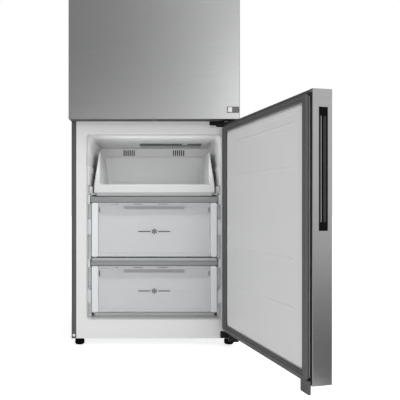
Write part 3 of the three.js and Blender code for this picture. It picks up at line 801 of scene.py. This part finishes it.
def make_bottom_hinge():
    low = draw((prism, rounded((237, 297), (27, 52), 3), "y", -4, FLAT, 0.6))
    arm = [
        (262, FLAT), (262, -30), *arc(278, -34, 16, 180, 270, 8), (291, -50), (297, -44), (297, FLAT),
    ]
    prism(low, arm, "z", 24, 46, 1.2)
    washer_and_pin = [
        (MIDDLE, 46), (8, 46), (8, 47.4), (4.6, 48), (4, 49), (4, 71.2), (3.2, 72), (MIDDLE, 72),
    ]
    lathe(low, washer_and_pin, (HINGE.x, HINGE.y), "z", 24)
    for screw_x in (246, 256):
        screw_head(low, screw_x, -4, 39.5, 3.8, 1.4, "y", -1)
    piece("bottom_hinge_bracket", low, HINGE_PAINT, "cabinet", ["bottom_hinge"])


def make_top_hinge_cap():
    x, y, (bottom, top) = limits("top_hinge_cover")
    section = (
        (2.6, bottom), (0, bottom), (0, bottom + 3), (0.7, bottom + 3.2), (0.7, bottom + 4),
        (0.2, bottom + 4.4), (0.4, top - 6), (1.2, top - 3), (3.0, top - 1), (6, top),
    )
    cover = draw((stepped, x, y, 10, "z", section, 0.5, 6))
    centre = ((x[0] + x[1]) / 2, y[1] - 22)
    hollow = [(MIDDLE, top - 1.4), (5.6, top - 1.4), (6.2, top + 1), (MIDDLE, top + 1)]
    socket = draw((lathe, hollow, centre, "z", 24))
    grooves = bmesh.new()
    for k in range(5):
        start = y[0] + 18 + 7 * k
        slab(grooves, shrink(x, 24), (start, start + 2.2), (top - 0.9, top + 1), 0.3)
    cover = carved(cover, socket, grooves)
    screw_head(cover, *centre, top - 1.5, 4.4, 1.2, "z", 1)
    piece("top_hinge_cap", cover, DARK_TRIM, "cabinet", ["top_hinge_cover"])


def make_hole_plug():
    x, (front, back), z = limits("hinge_hole_plug")
    profile = [
        (MIDDLE, back), (3.4, back), (3.4, back - 1), (5, back - 1), (5, front + 0.9),
        (4.2, front + 0.2), (2.6, front), (MIDDLE, front),
    ]
    plug = draw((lathe, profile, ((x[0] + x[1]) / 2, (z[0] + z[1]) / 2), "y", 28))
    piece("hinge_hole_cap", plug, TRAY_WHITE, "cabinet", ["hinge_hole_plug"])


# ------------------------------------------------------------------ machine space


def make_machine_space():
    can_profile = [
        (MIDDLE, 34), (46, 34), (60, 37), (70, 45), (73.4, 56), (74, 70), (74, 96), (77, 97),
        (77.6, 99.5), (77, 102), (73.4, 103), (73, 122), (70, 138), (62, 152), (48, 163),
        (28, 169.4), (10, 172), (MIDDLE, 172),
    ]
    can = draw(
        (lathe, can_profile, (110, 490), "z", 56),
        (prism, rounded((20, 200), (430, 550), 12), "z", 30.4, 33.4, 0.8),
    )
    rubber_foot = [(MIDDLE, 33), (9, 33), (10, 35), (8, 39), (8.6, 42), (4, 44), (MIDDLE, 44)]
    for x in (34, 186):
        for y in (444, 536):
            lathe(can, rubber_foot, (x, y), "z", 20)
    slab(can, (26, 44), (468, 512), (70, 120), 4, 3)
    tube(can, [(160, 540, 110), (168, 556, 118), (172, 562, 140), (172, 562, 168)], 4, 10)
    tube(can, [(66, 545, 100), (56, 560, 112), (52, 564, 150), (52, 564, 170)], 3, 10)
    piece("compressor_can", can, HINGE_PAINT, "cabinet", ["compressor"])


def make_rollers():
    for side in SIDES:
        node = "rear_roller_" + side
        (x0, x1), y, z = limits(node)
        centre = ((y[0] + y[1]) / 2, (z[0] + z[1]) / 2)
        r = (z[1] - z[0]) / 2
        profile = [
            (3.5, x0 + 1.6), (8, x0 + 1.6), (8.6, x0 + 0.2), (r - 1.4, x0), (r, x0 + 1.4),
            (r, x0 + 6), (r - 0.8, x0 + 6.6), (r - 0.8, x1 - 6.6), (r, x1 - 6),
            (r, x1 - 1.4), (r - 1.4, x1), (8.6, x1 - 0.2), (8, x1 - 1.6), (3.5, x1 - 1.6),
        ]
        wheel = draw((lathe, profile, centre, "x", 48))
        piece("roller_wheel_" + side, wheel, BLACK, node, [node])


def make_feet():
    for side in SIDES:
        node = "levelling_foot_" + side
        x, y, _ = limits(node)
        centre = ((x[0] + x[1]) / 2, (y[0] + y[1]) / 2)
        r = (x[1] - x[0]) / 2
        base = [
            (MIDDLE, 0), (r - 4, 0), (r - 2.4, 0.8), (r - 1.6, 3), (r - 1.6, 16.5), (r - 2.2, 18.6),
            (r - 5.5, 19.4), (11, 20.2), (10.2, 24),
        ]
        thread = []
        for level in range(24, 36, 2):
            thread += [(5, level), (4.4, level + 1)]
        foot = draw((lathe, [*base, *thread, (5, 36), (5, 40), (MIDDLE, 40)], centre, "z", 48))
        rim = centre[0] + r
        rib = draw((slab, (rim - 3, rim), (centre[1] - 0.9, centre[1] + 0.9), (3, 16.4), 0.5, 1))
        ribs = in_a_ring(rib, BLACK, 30, (*centre, 0), (0, 0, 1))
        piece("foot_" + side, joined(foot, ribs), BLACK, node, [node])


# ------------------------------------------------------------------ inside fittings


def make_air_outlet():
    (x0, x1), (front, back), (z0, z1) = limits("freezer_air_outlet")
    behind = (front + 5.3, back)
    body = draw((prism, rounded((x0, 114), behind, 5), "z", z0, z1, 1.0))
    prism(body, rounded((136, x1), behind, 5), "z", z0, z1, 1.0)
    slab(body, (112, 138), (back - 8, back), (z0 + 1, z1), 0.5)
    piece("air_outlet_body", body, TRIM, "cabinet", ["freezer_air_outlet"])
    slat = draw((slab, (x0 + 6, x0 + 8.4), (front, front + 5), (z0 + 0.6, z1 - 0.2), 0.3, 1))
    slats = in_rows(slat, DARK_TRIM, 22, (7.4, 0, 0))
    for stretch in ((x0 + 1, 113), (137, x1 - 1)):
        slab(slats, stretch, (front + 1, front + 5), (z0 + 0.2, z1), 0.3)
    piece("air_outlet_grille", slats, DARK_TRIM, "cabinet")


def make_louvres():
    front = limits("evaporator_cover")[1][0]
    louvres = bmesh.new()
    for first in (-138, 83):
        x = (first + 0.3, first + 4.7)
        blade = draw((slab, x, (front + 0.3, front + 3.0), (726.3, 750.7), 0.4, 1))
        louvres = joined(louvres, in_rows(blade, BLACK, 6, (9, 0, 0)))
    piece("vent_louvres", louvres, BLACK, "cabinet")


def make_fridge_fittings():
    x, (front, back), z = limits("fridge_duct_cover")
    section = ((0, back), (0, front + 8), (1.6, front + 3), (5, front + 0.6), (9, front))
    duct = draw((stepped, x, z, 16, "y", section, 0.4, 6))
    slots = bmesh.new()
    for height in (1120, 1200, 1340, 1420, 1580, 1660):
        prism(slots, rounded((-46, 46), (height - 5, height + 5), 4.5), "y", front - 3, front + 8)
    duct = carved(duct, slots)
    piece("duct_cover", duct, TRAY_WHITE, "cabinet", ["fridge_duct_cover"])

    x, y, (bottom, top) = limits("fridge_light_lens")
    section = ((0, top), (0, bottom + 4), (1.4, bottom + 1.4), (5, bottom + 0.2), (10, bottom))
    lens = draw((stepped, x, y, 12, "z", section, 0.4, 6))
    rib = draw((slab, shrink(x, 14), (y[0] + 12, y[0] + 13.6), (bottom, bottom + 1.2), 0.3, 1))
    ribs = in_rows(rib, FROSTED, 9, (0, 8, 0))
    piece("light_lens", joined(lens, ribs), FROSTED, "cabinet", ["fridge_light_lens"])


# ------------------------------------------------------------------ shelves


def make_shelf(name):
    x, y, (bottom, top) = limits(name + "_glass")
    section = ((1.0, bottom), (0, bottom + 1.0), (0, top - 1.0), (1.0, top))
    plate = draw((stepped, x, y, 5, "z", section, 1.0, 4))
    piece(name + "_plate", plate, GLASS, "cabinet", [name + "_glass"])


def make_trim(name, corner, band):
    """The moulded strip round a shelf's front edge, with a slot for the glass."""
    x, (front, back), z = limits(name + "_trim")
    glass = limits(name + "_glass")[2]
    section = ((0.8, back), (0, back - 0.8), (0, front + 3.2), (0.7, front + 1.2), (2.2, front))
    body = draw((loft, [
        lift(rounded(shrink(x, i), shrink(z, i * 0.6), corner, 6), "y", level) for i, level in section
    ]))
    slot = draw((slab, shrink(x, -4), (front + 9.6, back + 4), shrink(glass, -0.4)))
    groove_z = (z[0] + band[0], z[0] + band[1])
    groove = draw((slab, shrink(x, 9), (front - 1, front + 0.7), groove_z, 0.25, 1))
    piece(name + "_strip", carved(body, slot, groove), TRIM, "cabinet", [name + "_trim"])


def make_shelves():
    x, y, (bottom, top) = limits("freezer_shelf_lower_trim")
    # The pale strip standing above the lower trim is a painted highlight on the trim's top edge.
    lip_outline = rounded(shrink(x, 4), (top - 6, top + 10.5), 10, 6)
    lip = draw((prism, lip_outline, "y", y[0] + 1.2, y[0] + 8, 0.8))
    below = draw((slab, shrink(x, -9), (y[0] - 9, y[1]), (bottom, top + 0.3)))
    lip = carved(lip, below)
    piece("freezer_shelf_lower_lip", lip, PALE_PLASTIC_AND_HIGHLIGHT, "cabinet")
    for name, corner, band in (
        ("freezer_shelf_upper", 4, (4.4, 6.2)),
        ("freezer_shelf_lower", 8, (13.4, 14.8)),
        ("fridge_shelf_top", 4, (4.4, 6)),
        ("fridge_shelf_middle", 4, (4.4, 6)),
        ("crisper_cover", 4, (4.4, 6)),
    ):
        make_shelf(name)
        make_trim(name, corner, band)


# ------------------------------------------------------------------ drawers and tray


def tub(bm, x, y, z, wall, taper, corner, rim=1.2):
    """An open box with sloping sides, a rounded rim and a rounded floor."""
    inside = wall + taper
    section = (
        (taper + 5, z[0]), (taper + 1.4, z[0] + 1.4), (taper, z[0] + 5),
        (0, z[1] - rim), (0, z[1] - 0.5), (0.5, z[1]), (wall - 0.5, z[1]), (wall, z[1] - 0.5),
        (inside, z[0] + wall + 5), (inside + 1.4, z[0] + wall + 1.4), (inside + 5, z[0] + wall),
    )
    stepped(bm, x, y, corner, "z", section, 0.0, 6)


def snowflake(bm, x, z, size, y0, y1, thick):
    """A plain six-armed snowflake, drawn as flat bars."""
    def bar(a, b, width):
        along = (b - a).normalized()
        across = Vector((-along.y, along.x)) * width / 2
        prism(bm, [tuple(p) for p in (a - across, b - across, b + across, a + across)], "y", y0, y1)

    def ray(angle):
        return Vector((math.cos(angle), math.sin(angle)))

    centre = Vector((x, z))
    for k in range(6):
        angle = math.radians(60 * k + 30)
        ahead = ray(angle)
        bar(centre + ahead * thick * 0.5, centre + ahead * size, thick)
        start = centre + ahead * size * 0.58
        for turn in (-50, 50):
            bar(start, start + ray(angle + math.radians(turn)) * size * 0.34, thick * 0.8)


def trapezium(wide, narrow, high, low):
    return [(wide, high), (-wide, high), (-narrow, low), (narrow, low)]


def make_drawer(name, half, box_half, print_z):
    """A clear box, a face that is frosted at its two sides, its grip with a grey plate of painted shade in
    its pocket, rail, mat and print.
    """
    _, (front, back), (bottom, top) = limits(name)
    box = draw((tub, (-box_half, box_half), (front + 8.4, back), (bottom, top - 28), 2.5, 5, 12))
    rib_x = (-box_half + 30, box_half - 30)
    rib = draw((slab, rib_x, (back - 3.4, back - 1.2), (top - 60, top - 56), 0.8))
    piece(name + "_tub", joined(box, rib), FROSTED, name, [name])

    window = (-half + 23, half - 23)
    section = (
        (0.6, front + 6), (0, front + 5.4), (0, front + 1.4), (0.4, front + 0.5), (1.4, front),
    )
    face = draw((stepped, window, (bottom, top), 2, "y", section))
    sides = draw(
        (stepped, (-half, window[0] - 0.2), (bottom, top), 5, "y", section),
        (stepped, (window[1] + 0.2, half), (bottom, top), 5, "y", section),
    )
    piece(name + "_face_sides", sides, FROSTED_SIDE, name)
    section = ((-3.0, front - 1), (-1.2, front + 0.1), (1.2, front + 2.2), (2.4, front + 2.6))
    hollow = draw((stepped, shrink(window, 2), (bottom + 13, top - 9), 6, "y", section))
    grip_top, grip_low = top - 12.5, top - 24
    pocket = draw((prism, trapezium(116, 108, grip_top, grip_low), "y", front - 1, front + 4.6))
    piece(name + "_face", carved(face, hollow, pocket), FROSTED, name)

    rail_outline = rounded((-half + 27, half - 27), (top - 46, top - 10), 4)
    rail = draw((prism, rail_outline, "y", front + 6.2, front + 8.2, 0.6))
    piece(name + "_rail", rail, FROSTED_THICK, name)
    mat_outline = rounded((-box_half + 24, box_half - 24), (front + 26, back - 26), 8)
    mat = draw((prism, mat_outline, "z", bottom + 2.7, bottom + 4.4, 0.5))
    piece(name + "_floor_mat", mat, PALE_PLASTIC_AND_HIGHLIGHT, name)
    # A mid-grey plate on the floor of the grip pocket: painted shade in the hollow of the grip.
    lip_outline = trapezium(113, 107, grip_top - 1, grip_low + 1)
    lip = draw((prism, lip_outline, "y", front + 3.2, front + 4.4))
    piece(name + "_grip_lip", lip, TRIM, name)

    marks = bmesh.new()
    flat = (front + 2.35, front + 2.75)
    snowflake(marks, 0, print_z, 10.5, *flat, 2.4)
    slab_pair(marks, 14, 58, flat, (print_z - 1.7, print_z + 1.7), 0.15, 1)
    slab_pair(marks, half - 30.0, half - 26.6, (front + 2.3, front + 3), (top - 36, top - 18), 0.3, 1)
    for stretch in ((-141, -132), (-75, -41), (14, 48)):
        slab(marks, stretch, (front - 0.1, front + 0.5), (top - 6.4, top - 4.2), 0.3, 1)
    piece(name + "_print", marks, INK, name, weighted=False)


def make_drawers():
    make_drawer("freezer_drawer_upper", 228, 219, 408)
    make_drawer("freezer_drawer_lower", 228, 219, 191)
    make_drawer("crisper_drawer", 210, 206, 938)


def make_tray():
    x, (front, back), (bottom, top) = limits("freezer_tray")
    lip, rise = 577, 209  # the height of its front edge, and how far back it reaches full height
    outline = [(front, bottom), (back, bottom), (back, top), (rise, top), (front, lip)]
    body = draw((prism, outline, "x", *x))
    bmesh.ops.bevel(body, geom=list(body.edges), offset=2.2, segments=3, affect="EDGES", profile=0.5)
    wall = 4.0
    section = (
        (wall + 26, bottom + 3), (wall + 21, bottom + 4.4), (wall + 18, bottom + 8),
        (wall, top - 1), (wall, top + 4),
    )
    room = draw((loft, [
        lift(rounded(shrink(x, i), (front + min(i, wall), back - i * 0.7), 9, 7), "z", level)
        for i, level in section
    ]))
    skirt_z = (bottom - 10.6, bottom + 2)
    skirt = draw((slab, shrink(x, 9), (front + 11, front + 15), skirt_z, 1.0, 2))
    body = joined(carved(body, room), skirt)
    piece("tray_shell", body, TRAY_WHITE, "freezer_tray", ["freezer_tray"], sharp=35)


# ------------------------------------------------------------------ doors

DOOR_FRONT, DOOR_BACK = limits("fridge_door_skin")[1]
DOOR_X = (-HALF_WIDTH, HALF_WIDTH)
DOOR_AXIS = (HINGE.x, HINGE.y)
DOOR_CAP = 8  # how high the end caps of the doors are
BINS = ("door_bin_lower", "door_bin_middle", "door_bin_upper")


def skin_outline():
    """The folded sheet of a door seen from above: outer side, then inner side."""
    half, fold, r = HALF_WIDTH, HALF_WIDTH - 12.5, 4.0
    corner, inner = DOOR_FRONT + r, r - SHEET
    outline = [(-fold, DOOR_BACK), (-half + 1, DOOR_BACK), (-half, DOOR_BACK - 1)]
    outline += arc(-half + r, corner, r, 180, 270, 8)
    outline += arc(half - r, corner, r, 270, 360, 8)
    outline += [(half, DOOR_BACK - 1), (half - 1, DOOR_BACK), (fold, DOOR_BACK)]
    outline += [(fold, DOOR_BACK - SHEET), (half - SHEET, DOOR_BACK - SHEET)]
    outline += arc(half - r, corner, inner, 360, 270, 8)
    outline += arc(-half + r, corner, inner, 270, 180, 8)
    outline += [(-half + SHEET, DOOR_BACK - SHEET), (-fold, DOOR_BACK - SHEET)]
    return outline


def make_door_end(name, place, word, face, out):
    """A door's end cap with its pin hole, troughs and ridges; out is 1 for up, -1 for down."""
    x, y, _ = limits("fridge_door_bottom_cap")
    low, high = sorted((face, face - DOOR_CAP * out))
    cap = draw((prism, rounded(x, y, 2.6), "z", low, high, 0.9))
    hole = [
        (MIDDLE, face - 9 * out), (4.6, face - 9 * out), (4.6, face + out), (MIDDLE, face + out),
    ]
    cap = carved(cap, draw((lathe, hole, DOOR_AXIS, "z", 28)))
    troughs = bmesh.new()
    for stretch in ((x[0] + 14, -8), (8, x[1] - 66)):
        depth = sorted((face - 2.4 * out, face + 2 * out))
        slab(troughs, stretch, (y[0] + 9, y[1] - 8), depth, 1.6, 2)
    cap = carved(cap, troughs)
    height = sorted((face - 2.6 * out, face - 0.3 * out))
    ridge = draw((slab, (x[0] + 40, x[0] + 41.8), (y[0] + 8, y[1] - 7), height, 0.3, 1))
    ridges = in_rows(ridge, DARK_TRIM, 9, (50, 0, 0))
    bush = [
        (4.8, face - 2 * out), (8.4, face - 2 * out), (8.4, face - 0.4 * out),
        (7.8, face), (5.2, face), (4.8, face - 0.4 * out),
    ]
    lathe(ridges, bush, DOOR_AXIS, "z", 28)
    cap = joined(cap, ridges)
    piece(f"{name}_{word}_end", cap, DARK_TRIM, name, [f"{name}_{word}_cap"], place)


def make_seal(name, place, z):
    """A soft ring with a magnet bulge, narrower along its top and bottom than at its sides."""
    deep, high = limits("fridge_door_gasket")[1]
    side_width, end_width = 26, 16
    section = (
        (4, deep), (4, deep + 1.6), (1.2, deep + 2.4), (0, deep + 4), (0, deep + 7.6), (1.4, high - 0.6),
        (3, high), (12, high), (13.6, high - 0.8), (14.4, high - 2.4), (16.4, high - 2.2),
        (18.4, high - 1.4), (21.6, high - 1.6), (24.6, high - 3.4), (side_width, deep + 4.2),
        (25.2, deep + 2.6), (22, deep + 2.2), (22, deep),
    )
    rings = []
    for inset, level in section:
        x = shrink((-HALF_WIDTH + 12, HALF_WIDTH - 16.5), inset)
        span = shrink((z[0] + 12, z[1] - 12), end_width * (inset / side_width))
        rings.append(lift(rounded(x, span, max(6 - inset, 1.2), 5), "y", level))
    seal = bmesh.new()
    loft(seal, rings, round_trip=True)
    piece(name + "_seal", seal, RUBBER, name, [name + "_gasket"], place, sharp=50)


def make_door(name, place):
    z, grip_z = limits(name + "_skin")[2], limits(name + "_grip")[2]
    grip_y = limits("fridge_door_grip")[1]
    skin = draw((prism, skin_outline(), "z", z[0], z[1], 0.35, 1))
    hole_x = (-HALF_WIDTH - 5, -HALF_WIDTH + 9)
    hole = draw((slab, hole_x, shrink(grip_y, -0.4), shrink(grip_z, -0.4)))
    piece(name + "_sheet", carved(skin, hole), STEEL, name, [name + "_skin"], place)
    make_door_end(name, place, "bottom", z[0], -1)
    make_door_end(name, place, "top", z[1], 1)
    make_seal(name, place, z)
    # A thin near-black strip round the back of the door: a painted shadow of the groove between the steel
    # sheet and the inner panel.
    strip = [(inset, DOOR_BACK + rise) for inset, rise in ((0, 0.05), (0, 0.7), (8, 0.7), (8, 0.05))]
    edge = draw((around, shrink(DOOR_X, 1.3), shrink(z, 8.6), strip, 1))
    piece(name + "_edge_strip", edge, GROOVE_SHADOW_BLACK, name, (), place)
    make_grip(name, place, grip_y, grip_z)


def make_grip(name, place, y, z):
    """The long hollow in a door's side edge, with a sloping back in it and a light grey strip in it that is a
    painted highlight on the hollow's inner fold.
    """
    x0, x1 = -HALF_WIDTH, -HALF_WIDTH + 26
    pocket_z = shrink(z, 20)
    house = draw((prism, rounded(y, z, 2.2, 4), "x", x0, x1, 0.5))
    section = (
        (-0.6, x0 - 1), (0, x0 + 0.4), (0.4, x0 + 3), (1.2, x0 + 14), (2.6, x1 - 4), (4.4, x1 - 2.4),
    )
    house = carved(house, draw((stepped, shrink(y, 2.2), pocket_z, 3, "x", section, 0.0, 4)))
    piece(name + "_grip_housing", house, BLACK, name, [name + "_grip"], place)
    # A light grey strip down the hollow: a painted highlight on the inner fold of the grip.
    highlight_y = (y[1] - 8.6, y[1] - 6.6)
    blade = draw((slab, (x0 + 2.0, x0 + 12), highlight_y, shrink(pocket_z, 0.5), 0.6, 2))
    piece(name + "_grip_blade", blade, TRIM, name, (), place)
    pull = [
        (x0 + 0.8, y[0] + 1.6), (x0 + 2.4, y[0] + 2.4), (x0 + 5.4, y[0] + 8.4),
        (x0 + 12, y[0] + 8.8), (x0 + 12, y[0] + 1.6),
    ]
    inner_z = shrink(pocket_z, 0.4)
    back = draw((prism, pull, "z", *inner_z, 0.3, 1))
    slab(back, (x0 + 1.8, x0 + 3.4), (y[1] - 6.0, y[1] - 2.4), inner_z, 0.4, 1)
    piece(name + "_grip_back", back, GRIP_GREY, name, (), place)


def panel_rim(node):
    """The first rings of a door's inner panel, its flat rim: (x, z, corner, level)."""
    x, z = shrink(DOOR_X, 12.9), tuple(limits(node)[2])
    return [
        (x, z, 3, DOOR_BACK - 3.6),
        (x, z, 3, DOOR_BACK - 0.6),
        (shrink(x, 0.6), shrink(z, 0.6), 3, DOOR_BACK),
    ]


def panel_shape(rings):
    return draw((loft, [lift(rounded(x, z, corner, 6), "y", level) for x, z, corner, level in rings]))


def make_freezer_door():
    make_door("freezer_door", FREEZER_DOOR)
    bottom, top = limits("freezer_door_skin")[2]
    base = DOOR_BACK
    x, z = (-HALF_WIDTH + 40, HALF_WIDTH - 44.5), (bottom + 30, top - 30)
    section = (
        (0, base), (0.6, base + 1.6), (2.0, base + 3.2), (4.5, base + 4), (14, base + 4),
        (17, base + 3.2), (22, base + 2.9),
    )
    plateau = [(shrink(x, i), shrink(z, i), 14 - i * 0.2, level) for i, level in section]
    panel = panel_shape(panel_rim("freezer_door_panel") + plateau)
    bead = ((0, base + 2.7), (2.2, base + 3.5), (4.0, base + 3.8))
    for height, start, end in ((715, -212, 188), (600, -212, 188), (358, -214, 206), (231, -214, 206)):
        loft(panel, [
            lift(rounded((start + i, end - i), shrink((height - 5, height + 5), i * 0.9), 4.6, 4), "y", level)
            for i, level in bead
        ])
    piece(
        "freezer_door_inner", panel, PANEL, "freezer_door",
        ["freezer_door_panel"], FREEZER_DOOR, sharp=50,
    )

    block = draw((slab, (-292, -252), (base + 0.4, -3.8), (33, bottom + 11.6), 2.0, 3))
    ridge = draw((slab, (-287, -257), (-4.6, -3.8), (39, 40.6), 0.3, 1))
    ridges = in_rows(ridge, DARK_TRIM, 5, (0, 0, 4.6))
    piece(
        "freezer_door_rest", joined(block, ridges), DARK_TRIM, "freezer_door",
        ["freezer_door_stop_block"], FREEZER_DOOR,
    )


def make_fridge_door():
    make_door("fridge_door", FRIDGE_DOOR)
    base = DOOR_BACK
    back = limits("fridge_door_panel")[1][1]
    rings = panel_rim("fridge_door_panel")
    for i, level in ((-2, base), (0, base + 2), (0, back - 6), (1.8, back - 1.8), (6, back)):
        rings.append((shrink((-228, 228), i), shrink((858, 1772), i), 18, level))
    section = (
        (-5, back), (-1.4, back - 1.6), (0, back - 6), (0, base + 12), (2.4, base + 6.4), (8, base + 4),
    )
    for i, level in section:
        rings.append((shrink((-204.4, 204.4), i), shrink((878, 1756), i), 14, level))
    panel = panel_shape(rings)
    for node in BINS:
        low, high = limits(node)[2]
        slab_pair(panel, 205.5, 211, (4, 34), (low + 8, high - 12), 2, 2)
    piece(
        "fridge_door_inner", panel, PANEL, "fridge_door", ["fridge_door_panel"], sharp=50
    )


def make_badge():
    x, (front, back), z = limits("fridge_door_badge")
    section = ((0, back), (0, front + 0.5), (0.5, front), (1.1, front), (1.3, front + 0.3))
    badge = draw((stepped, x, z, 1.6, "y", section, 0.0, 4))
    piece("badge_frame", badge, BADGE_DARK, "fridge_door", ["fridge_door_badge"])
    light_field = rounded((x[0] + 3.0, x[0] + 17.4), shrink(z, 2.4), 1.0)
    field = draw((prism, light_field, "y", front + 0.02, front + 0.6, 0.15, 1))
    piece("badge_field", field, PLATE, "fridge_door")


def make_bins():
    for node in BINS:
        x, y, (bottom, top) = limits(node)
        shape = draw((tub, x, y, (bottom, top), 2.5, 3, 14))
        piece(node + "_tub", shape, FROSTED, "fridge_door", [node])
        section = (
            (0.1, top - 14), (0, top - 13), (0, top - 5), (0.1, top - 4), (2, top - 4), (2, top - 14),
        )
        band = draw((around, x, y, section, 14, "z", 6))
        piece(node + "_band", band, FROSTED_THICK, "fridge_door")


# ------------------------------------------------------------------ the scene

# The studio is dim on the left and bright on the right: (place from left to right, tone).
SKY = ((0.0, 0.5), (0.45, 0.25), (0.6, 1.1), (1.0, 1.0))
POWER = {"top": 16, "right": 7, "low": 8, "inside": 0.25, "floor": 0.3, "floor_seen": 0.4}
LENS = 47.07  # on a sensor 36 wide
SHIFT = (0.1125, 0.019)
EYE = (2.6, -1879, 495)  # the camera's place, in the cabinet's millimetres
METRES = Matrix.Scale(0.001, 4)


def make_stage():
    bm = bmesh.new()
    size = 30000.0
    corners = ((-1, -1), (1, -1), (1, 1), (-1, 1))
    bm.faces.new([bm.verts.new((x * size, y * size, -0.5)) for x, y in corners])
    mesh = bpy.data.meshes.new("studio_floor")
    bm.to_mesh(mesh)
    bm.free()
    mesh.transform(METRES)
    floor = in_scene("studio_floor", mesh)
    paper = moulded("floor_paper", (0.86, 0.86, 0.86), 0.8, grain=60, tint=0.004, relief=0.02)
    nodes, links = paper.node_tree.nodes, paper.node_tree.links
    shader = nodes["Principled BSDF"]
    shader.inputs["Emission Color"].default_value = (1, 1, 1, 1)
    path = nodes.new("ShaderNodeLightPath")
    glow = nodes.new("ShaderNodeMapRange")
    glow.inputs["To Min"].default_value = POWER["floor"]
    glow.inputs["To Max"].default_value = POWER["floor"] + POWER["floor_seen"]
    links.new(path.outputs["Is Camera Ray"], glow.inputs["Value"])
    links.new(glow.outputs["Result"], shader.inputs["Emission Strength"])
    mesh.materials.append(paper)


def softbox(name, place, target, size, power):
    light = bpy.data.lights.new(name, "AREA")
    light.shape = "RECTANGLE"
    light.size, light.size_y = size
    light.energy = power
    lamp = in_scene(name, light)
    lamp.location = place
    lamp.rotation_euler = (Vector(target) - Vector(place)).to_track_quat("-Z", "Y").to_euler()
    return lamp


def make_world():
    """A sky of grey tones from left to right, plain white where the camera looks into it."""
    world = bpy.data.worlds.new("studio")
    bpy.context.scene.world = world
    world.use_nodes = True
    nodes, links = world.node_tree.nodes, world.node_tree.links
    direction = nodes.new("ShaderNodeTexCoord")
    parts = nodes.new("ShaderNodeSeparateXYZ")
    links.new(direction.outputs["Generated"], parts.inputs[0])
    share = nodes.new("ShaderNodeMapRange")
    share.inputs["From Min"].default_value = -1.0
    links.new(parts.outputs["X"], share.inputs["Value"])
    ramp = nodes.new("ShaderNodeValToRGB")
    ramp.color_ramp.interpolation = "EASE"
    elements = ramp.color_ramp.elements
    elements[0].position, elements[1].position = SKY[0][0], SKY[-1][0]
    for position, _ in SKY[1:-1]:
        elements.new(position)
    for element, (_, tone) in zip(elements, SKY):
        element.color = (tone, tone, tone, 1)
    links.new(share.outputs[0], ramp.inputs[0])
    soft = nodes["Background"]
    soft.inputs["Strength"].default_value = 1.0
    links.new(ramp.outputs[0], soft.inputs["Color"])
    bright = nodes.new("ShaderNodeBackground")
    bright.inputs["Color"].default_value = (1, 1, 1, 1)
    bright.inputs["Strength"].default_value = 1.0
    path = nodes.new("ShaderNodeLightPath")
    mix = nodes.new("ShaderNodeMixShader")
    links.new(path.outputs["Is Camera Ray"], mix.inputs[0])
    links.new(soft.outputs[0], mix.inputs[1])
    links.new(bright.outputs[0], mix.inputs[2])
    links.new(mix.outputs[0], nodes["World Output"].inputs["Surface"])


def make_light():
    make_world()
    softbox("top_softbox", (-0.2, -1.2, 3.4), (-0.1, 0.1, 0.6), (3.2, 2.6), POWER["top"])
    softbox("right_softbox", (1.1, -3.4, 1.3), (0.0, 0.2, 0.5), (0.9, 1.2), POWER["right"])
    softbox("low_softbox", (-0.15, -3.3, 0.34), (-0.07, 0.3, 0.5), (1.5, 0.5), POWER["low"])
    under_ceiling, back_wall = (-0.0722, 0.012, 0.715), (-0.0722, 0.40, 0.62)
    inside = softbox("freezer_lamp", under_ceiling, back_wall, (0.42, 0.02), POWER["inside"])
    inside.visible_camera = False
    inside.visible_glossy = False
    # A dark card for the open door's edge to reflect.
    flag = mesh_object("dark_card", draw((slab, (450, 2200), (-2300, -660), (2, 6))))
    flag.data.transform(METRES)
    card = moulded("card_paper", (0.12, 0.12, 0.12), 0.9, grain=60, tint=0.02, relief=0.02)
    flag.data.materials.append(card)
    flag.visible_camera = False
    flag.visible_shadow = False
    flag.visible_diffuse = False


def make_camera():
    camera = bpy.data.cameras.new("camera")
    camera.sensor_width = 36
    camera.lens = LENS
    camera.shift_x, camera.shift_y = SHIFT
    eye = in_scene("camera", camera)
    eye.location = CABINET @ Vector(EYE)
    eye.rotation_euler = (math.radians(90), 0, 0)
    bpy.context.scene.camera = eye


make_wrapper()
make_rear_panel()
make_liners()
make_tray_stops()
make_middle_hinge()
make_bottom_hinge()
make_top_hinge_cap()
make_hole_plug()
make_machine_space()
make_rollers()
make_feet()
make_air_outlet()
make_louvres()
make_fridge_fittings()
make_shelves()
make_drawers()
make_tray()
make_freezer_door()
make_fridge_door()
make_badge()
make_bins()
make_stage()
make_light()
make_camera()
bpy.context.scene.view_settings.view_transform = "Standard"
